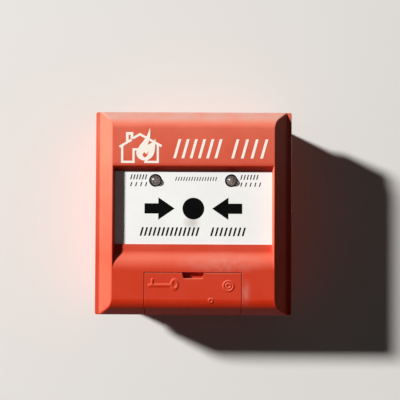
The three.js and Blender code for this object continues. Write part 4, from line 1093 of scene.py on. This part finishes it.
def stroke_outline(path, width):
    """Outline of an open line of even width with mitred corners: the path moved to each side by half
    the width, and back along the other side."""
    path = np.array(path, float)
    along = np.diff(path, axis=0)
    along /= np.linalg.norm(along, axis=1, keepdims=True)
    normal = np.stack([-along[:, 1], along[:, 0]], 1)
    before, after = np.vstack([normal[:1], normal]), np.vstack([normal, normal[-1:]])
    mitre = before + after
    mitre /= (mitre * after).sum(1, keepdims=True)
    left, right = path + mitre * width / 2, path - mitre * width / 2
    return np.vstack([right, left[::-1]])


def tongue_outline(points, tips, steps=8):
    """A closed curve through a few points. Between two of them it is the cubic (2t³ - 3t² + 1)·a +
    (t³ - 2t² + t)·m + (3t² - 2t³)·b + (t³ - t²)·n, whose slopes m and n at a and b are half the
    step between each point's neighbours, and nothing at a tip, which stays sharp."""
    points = np.array(points, float)
    slope = (np.roll(points, -1, axis=0) - np.roll(points, 1, axis=0)) / 2
    slope[list(tips)] = 0
    t = (np.arange(steps) / steps)[None, :, None]
    a, m = points[:, None], slope[:, None]
    b, n = np.roll(a, -1, axis=0), np.roll(m, -1, axis=0)
    curve = (2 * t**3 - 3 * t**2 + 1) * a + (t**3 - 2 * t**2 + t) * m
    curve = curve + (3 * t**2 - 2 * t**3) * b + (t**3 - t**2) * n
    return curve.reshape(-1, 2)


def printed(outlines, face, thickness=0.04, step=0.0):
    """Print that stands on a flat face at a depth. Each outline stands a step above the one before it,
    so that strokes that cross don't share a face."""
    return gather([
        raised_outline(outline, face - 0.02, face + thickness + step * level, 0.015)
        for level, outline in enumerate(outlines)
    ])


def plate_signs():
    """The signs on the plate: a dot between two arrows, and bars below them and round the lamps."""
    middle = 2.3
    return {
        "target_dot": [circle_points(0, middle, 5.2)],
        "arrow_left": [arrow_points(-9.0, -23.4, middle)],
        "arrow_right": [arrow_points(9.0, 23.4, middle)],
        "plate_bars": slanted_bars((-25.7, 3.0, -10.8, -6.7, 2.0, 0.85), (8.1, 25.2, -10.8, -6.7, 2.0, 0.85)),
        "lamp_bars": slanted_bars(
            (-30.4, -22.2, 16.2, 18.6, 1.35, 0.5), (22.4, 31.2, 16.2, 18.6, 1.35, 0.5),
            (-30.4, -22.2, 12.9, 14.9, 1.9, 0.5), (22.4, 32.4, 12.9, 14.9, 1.9, 0.5),
            (-8.8, 11.3, 15.6, 17.5, 1.25, 0.4),
        ),
    }


def house_strokes():
    """The burning house as strokes: its two walls, the two slopes of its roof and the chimney."""
    return [
        stroke_outline([(-26.2, 30.2), (-28.4, 30.2), (-28.4, 24.3), (-33.8, 24.3), (-33.8, 32.2)], 1.05),
        stroke_outline([(-16.9, 32.4), (-16.9, 24.3), (-22.7, 24.3), (-21.9, 25.9)], 1.05),
        stroke_outline([(-35.1, 31.4), (-29.4, 34.8)], 1.1),
        stroke_outline([(-28.6, 35.6), (-25.4, 37.4), (-15.1, 31.8)], 1.1),
        stroke_outline([(-31.4, 34.0), (-31.4, 37.8), (-29.2, 37.8), (-29.2, 35.1)], 1.25),
    ]


def flame_outline():
    """The flame in the house: three tongues on a round foot."""
    return tongue_outline([
        (-20.6, 40.6), (-22.0, 37.0), (-23.8, 34.2), (-25.9, 31.5), (-27.1, 28.8), (-26.4, 26.5),
        (-24.5, 25.2), (-22.3, 25.0), (-20.1, 26.2), (-18.7, 28.3), (-18.2, 31.3), (-18.0, 35.2),
        (-19.9, 33.4), (-21.7, 32.4), (-20.6, 36.4),
    ], (0, 11, 13))


def heart_outline():
    """The red heart of the flame."""
    return tongue_outline([
        (-21.1, 29.6), (-21.8, 28.7), (-22.5, 28.1), (-23.0, 28.9), (-23.9, 28.4), (-24.1, 27.4),
        (-23.3, 26.5), (-22.2, 27.0),
    ], (0, 3))


class CALLPOINT_OT_print(bpy.types.Operator):
    """Lays the printed signs and the rows of slanted bars on the plate and on the cover"""

    bl_idname = "call_point.print"
    bl_label = "Printed signs"

    def execute(self, context):
        make = finishes()
        ink = make.print_ink("black_print", make.colours.ink)
        cream = make.print_ink("cream_print", make.colours.cream)
        front = COVER_HIGH[1]
        header = slanted_bars((-9.6, 13.8, 26.1, 35.2, 3.55, 1.3), (17.9, 35.5, 26.1, 35.2, 3.55, 1.3))
        for name, outlines in plate_signs().items():
            place(name, printed(outlines, PLATE_FACE), "press_plate", ink, sharp=15)
        for name, shape, slot, finish in (
            ("sign_house", printed(house_strokes(), front, step=0.003), "white_plastic", cream),
            ("sign_flame", printed([flame_outline()], front, 0.07), "white_plastic", cream),
            ("sign_flame_heart", printed([heart_outline()], front, 0.09), "red_plastic", make.red_cover()),
            ("header_bars", printed(header, front, step=0.003), "white_plastic", cream),
        ):
            place(name, shape, "housing", finish, sharp=15)
        return {"FINISHED"}


def lamp_shape(x, z):
    """A clear lamp: a dome on a straight body with a flange at its foot. The profile runs from the tip
    down to the foot and closes up a hair-thin bore on the axis."""
    bore, flange, flange_edge = 0.05, 2.9, 2.75
    shoulder = LAMP_HIGH[1] - LAMP_RADIUS
    foot = shoulder - 7.2
    angle = np.linspace(math.pi / 2 - bore / LAMP_RADIUS, 0, 20)
    dome = np.stack([LAMP_RADIUS * np.cos(angle), shoulder + LAMP_RADIUS * np.sin(angle)], 1)
    base = np.array([
        [LAMP_RADIUS, foot + 1.15], [flange_edge, foot + 1.0], [flange, foot + 0.85], [flange, foot + 0.15],
        [flange_edge, foot], [bore, foot],
    ])
    return turned(np.vstack([dome, base]), 48, (x, 0, z), "depth")


def cup_shape(x, z):
    """The metal cup inside a lamp, on its post: a cone that widens to its rim, hollow in front."""
    bore, post = 0.02, 0.4
    foot = LAMP_HIGH[1] - 9.4
    profile = np.array([
        [bore, foot + 4.4], [post, foot + 4.4], [0.8, foot + 5.45], [0.9, foot + 5.4], [0.5, foot + 4.0],
        [post, foot + 3.2], [post, foot], [bore, foot],
    ])
    return turned(profile, 32, (x, 0, z), "depth")


class CALLPOINT_OT_lamps(bpy.types.Operator):
    """Builds the two clear lamps and the metal cups inside them"""

    bl_idname = "call_point.lamps"
    bl_label = "Indicator lamps"

    def execute(self, context):
        resin = finishes().clear_lamp()
        cup = finishes().metal("lamp_metal", tone(222, 206, 198), 0.45)
        offset, _, z = (LAMP_LOW + LAMP_HIGH) / 2
        for side, x in (("left", -offset), ("right", offset)):
            place(f"lamp_{side}", lamp_shape(x, z), "housing", resin, [f"led_{side}"])
            place(f"lamp_cup_{side}", cup_shape(x, z), "housing", cup)
        return {"FINISHED"}


class CALLPOINT_OT_springs(bpy.types.Operator):
    """Winds the plate's two return springs and the latch spring"""

    bl_idname = "call_point.springs"
    bl_label = "Springs"

    def execute(self, context):
        steel = finishes().metal("spring_steel", tone(172, 174, 178), 0.28, 900.0)
        for node, body, radius, wire, axis in (
            ("plate_spring_left", "press_plate", 2.4, 0.5, 1),
            ("plate_spring_right", "press_plate", 2.4, 0.5, 1),
            ("latch_spring", "latch_slide", 0.55, 0.3, 2),
        ):
            low, high = node_box(node)
            foot, tip = (low + high) / 2, (low + high) / 2
            foot[axis], tip[axis] = low[axis], high[axis]
            start = foot.copy()
            start[axis] += wire / 2
            height = high[axis] - low[axis] - wire
            shape = coil(start, radius, wire, height, 4, "depth" if axis == 1 else "z")
            piece = place(node + "_wire", shape, None, steel, [node], sharp=80)
            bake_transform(piece)
        return {"FINISHED"}


def carried_looks(make):
    """The finish of each of the record's material slots, for the CAD pieces that stay."""
    colours = make.colours
    return {
        "red_plastic": make.plastic(
            "red_box", colours.red, colours.pale_red, 0.62, 0.2, upward=0.3, film=0.04, shine=0.1
        ),
        "white_plastic": make.plastic(
            "white_plate", colours.white, colours.grime, 0.34, 0.1, 2200.0, 0.00002,
            smudge=((-0.0006, -0.0042), (0.0038, 0.0036)),
        ),
        "black_plastic": make.plastic(
            "black_moulding", tone(34, 34, 36), tone(52, 51, 50), 0.5, 0.5, 1800.0, upward=0.1
        ),
        "grey_plastic": make.plastic(
            "grey_moulding", tone(140, 142, 143), tone(116, 118, 120), 0.55, 0.5, upward=0.1
        ),
        "plunger_plastic": make.plastic("plunger_moulding", tone(190, 52, 36), tone(150, 40, 30), 0.4, 0.5),
        "board_green": make.plastic(
            "board_lacquer", tone(26, 84, 48), tone(18, 62, 38), 0.32, 0.6, 3000.0, 0.00001
        ),
        "seal_foam": make.plastic(
            "seal_foam", tone(40, 40, 41), tone(62, 61, 60), 0.9, 0.7, 3500.0, 0.0001
        ),
        "steel": make.metal("plated_steel", tone(184, 186, 190), 0.3),
        "nickel": make.metal("nickel", tone(196, 190, 178), 0.22),
        "brass": make.metal("brass", tone(206, 168, 84), 0.3),
        "clear_lens": make.plastic("clear_moulding", tone(220, 220, 216), tone(200, 200, 196), 0.2),
    }


class CALLPOINT_OT_carried(bpy.types.Operator):
    """Gives every CAD piece that stays its finish, and softens its edges"""

    bl_idname = "call_point.carried"
    bl_label = "Carried-over pieces"

    def execute(self, context):
        looks = carried_looks(finishes())
        slots = {part["node"]: part["material_slot"] for part in frame["record"]["subparts"]}
        widths = {"back_box": 0.35, "press_plate": 0.3, "chassis": 0.15}
        for name, obj in frame["nodes"].items():
            obj.data.materials.clear()
            obj.data.materials.append(looks[slots[name]])
            weld = obj.modifiers.new("Weld", "WELD")
            weld.merge_threshold = 0.000002
            bevel = obj.modifiers.new("Soft edges", "BEVEL")
            bevel.width = widths.get(name, 0.08) * MM
            bevel.segments = 2
            bevel.limit_method = "ANGLE"
            bevel.angle_limit = math.radians(40)
            bevel.harden_normals = True
        return {"FINISHED"}


def backdrop_mesh():
    """A wall just behind the part that runs down in a curve to a floor: one profile carried along X."""
    wall, floor, bend = -0.4, -1500.0, 250.0
    angle = np.linspace(0, np.pi / 2, 13)
    depth = np.concatenate([[wall], wall + bend * (1 - np.cos(angle)), [350.0]])
    height = np.concatenate([[900.0], floor + bend * (1 - np.sin(angle)), [floor]])
    x = np.linspace(-1100, 1100, 3)
    grid = np.stack(np.broadcast_arrays(x[None, :], depth[:, None], height[:, None]), -1)
    quads = grid_quads(*grid.shape[:2])[..., ::-1].reshape(-1, 4)
    mesh = bpy.data.meshes.new("backdrop")
    mesh.from_pydata(in_frame(grid.reshape(-1, 3)).tolist(), [], quads.tolist())
    mesh.shade_smooth()
    return mesh


def backdrop_finish(colour):
    """Matt paint, darker for light that bounces off it than for the camera, and clear from behind and
    for shadows, so that the lamp behind the wall reaches the part."""
    material, tree, shader = new_material("backdrop", Roughness=0.95, Specular_IOR_Level=0.1)
    path = tree.add("LightPath").outputs
    seen = tree.math("MAXIMUM", path["Is Glossy Ray"], path["Is Transmission Ray"])
    seen = tree.math("MAXIMUM", path["Is Camera Ray"], seen)
    tree.feed(shader.inputs["Base Color"], tree.mix(seen, shade(colour, 0.4), tuple(colour)))
    from_behind = tree.add("NewGeometry").outputs["Backfacing"]
    unseen = tree.math("MAXIMUM", from_behind, path["Is Shadow Ray"])
    mix_surface(material, tree, unseen, shader, tree.add("BsdfTransparent"))
    return material


def even_light(ambient):
    """Light from all sides: weak on the part, brighter where the camera or a clear piece looks past
    it, and in between in a mirror image."""
    world = bpy.data.worlds.new("Even light")
    world.use_nodes = True
    tree = Tree(world.node_tree)
    background = world.node_tree.nodes["Background"]
    background.inputs["Color"].default_value = (1.0, 1.0, 1.0, 1.0)
    path = tree.add("LightPath").outputs
    seen = tree.math("MAXIMUM", path["Is Camera Ray"], path["Is Transmission Ray"])
    seen = tree.math("MAXIMUM", seen, tree.times(path["Is Glossy Ray"], 0.45))
    tree.feed(background.inputs["Strength"], tree.remap(seen, 0.0, 1.0, ambient, 0.74))
    return world


def soft_lamp(name, toward, far, size, watts):
    """A round lamp that stands off from the part in a direction and looks at it."""
    way = Vector(toward).normalized()
    light = bpy.data.lights.new(name, "AREA")
    light.shape = "DISK"
    light.size = size
    light.energy = watts
    lamp = bpy.data.objects.new(name, light)
    lamp.location = way * far
    lamp.rotation_euler = way.to_track_quat("Z", "Y").to_euler()
    return lamp


def front_camera(lens):
    """The camera, almost head-on."""
    camera = bpy.data.cameras.new("Camera")
    camera.lens = lens
    camera.sensor_width = 36.0
    camera.clip_start = 0.01
    camera.shift_y = 0.0033
    eye = bpy.data.objects.new("Camera", camera)
    eye.location = (0.0042, -0.3279, 0.0007)
    eye.rotation_euler = Euler((math.radians(91.02), math.radians(-0.27), math.radians(0.20)), "XYZ")
    return eye


class CALLPOINT_OT_stage(bpy.types.Operator):
    """Sets the wall and floor, the lamps and the camera"""

    bl_idname = "call_point.stage"
    bl_label = "Stage"

    def execute(self, context):
        scene = context.scene
        stage = scene.call_point_stage
        backdrop = bpy.data.objects.new("backdrop", backdrop_mesh())
        backdrop.data.materials.append(backdrop_finish(stage.backdrop))
        scene.world = even_light(stage.ambient)
        key = soft_lamp("Key", (-1.575, -1.0, 0.75), 5.0, 0.5, stage.key_watts)
        rear = soft_lamp("Rear", (0.42, 1.0, 0.25), 3.0, 1.2, stage.rear_watts)
        scene.camera = front_camera(stage.lens)
        for obj in (backdrop, key, rear, scene.camera):
            scene.collection.objects.link(obj)
        scene.view_settings.view_transform = "Standard"
        return {"FINISHED"}


class CALLPOINT_PT_panel(bpy.types.Panel):
    """Lists the steps and the sizes"""

    bl_idname = "CALLPOINT_PT_panel"
    bl_label = "Call point"
    bl_space_type = "VIEW_3D"
    bl_region_type = "UI"
    bl_category = "Call point"

    def draw(self, context):
        for operator in OPERATORS:
            self.layout.operator(operator.bl_idname)
        for group in GROUPS:
            box = self.layout.box()
            settings = getattr(context.scene, group)
            for key in settings.__annotations__:
                box.prop(settings, key)


OPERATORS = (
    CALLPOINT_OT_stage,
    CALLPOINT_OT_cover,
    CALLPOINT_OT_door,
    CALLPOINT_OT_print,
    CALLPOINT_OT_lamps,
    CALLPOINT_OT_springs,
    CALLPOINT_OT_carried,
)
GROUPS = {
    "call_point_cover": CallPointCover,
    "call_point_door": CallPointDoor,
    "call_point_finish": CallPointFinish,
    "call_point_stage": CallPointStage,
}


def register():
    """Registers the property groups, the operators and the panel."""
    for group, kind in GROUPS.items():
        bpy.utils.register_class(kind)
        setattr(bpy.types.Scene, group, bpy.props.PointerProperty(type=kind))
    for kind in (*OPERATORS, CALLPOINT_PT_panel):
        bpy.utils.register_class(kind)


def unregister():
    """Takes away what register() added, in reverse order."""
    for kind in (CALLPOINT_PT_panel, *reversed(OPERATORS)):
        bpy.utils.unregister_class(kind)
    for group, kind in reversed(GROUPS.items()):
        delattr(bpy.types.Scene, group)
        bpy.utils.unregister_class(kind)


def main():
    """Builds every piece and the stage."""
    register()
    bpy.ops.call_point.stage()
    bpy.ops.call_point.cover()
    bpy.ops.call_point.door()
    bpy.ops.call_point.print()
    bpy.ops.call_point.lamps()
    bpy.ops.call_point.springs()
    bpy.ops.call_point.carried()


if __name__ == "__main__":
    main()
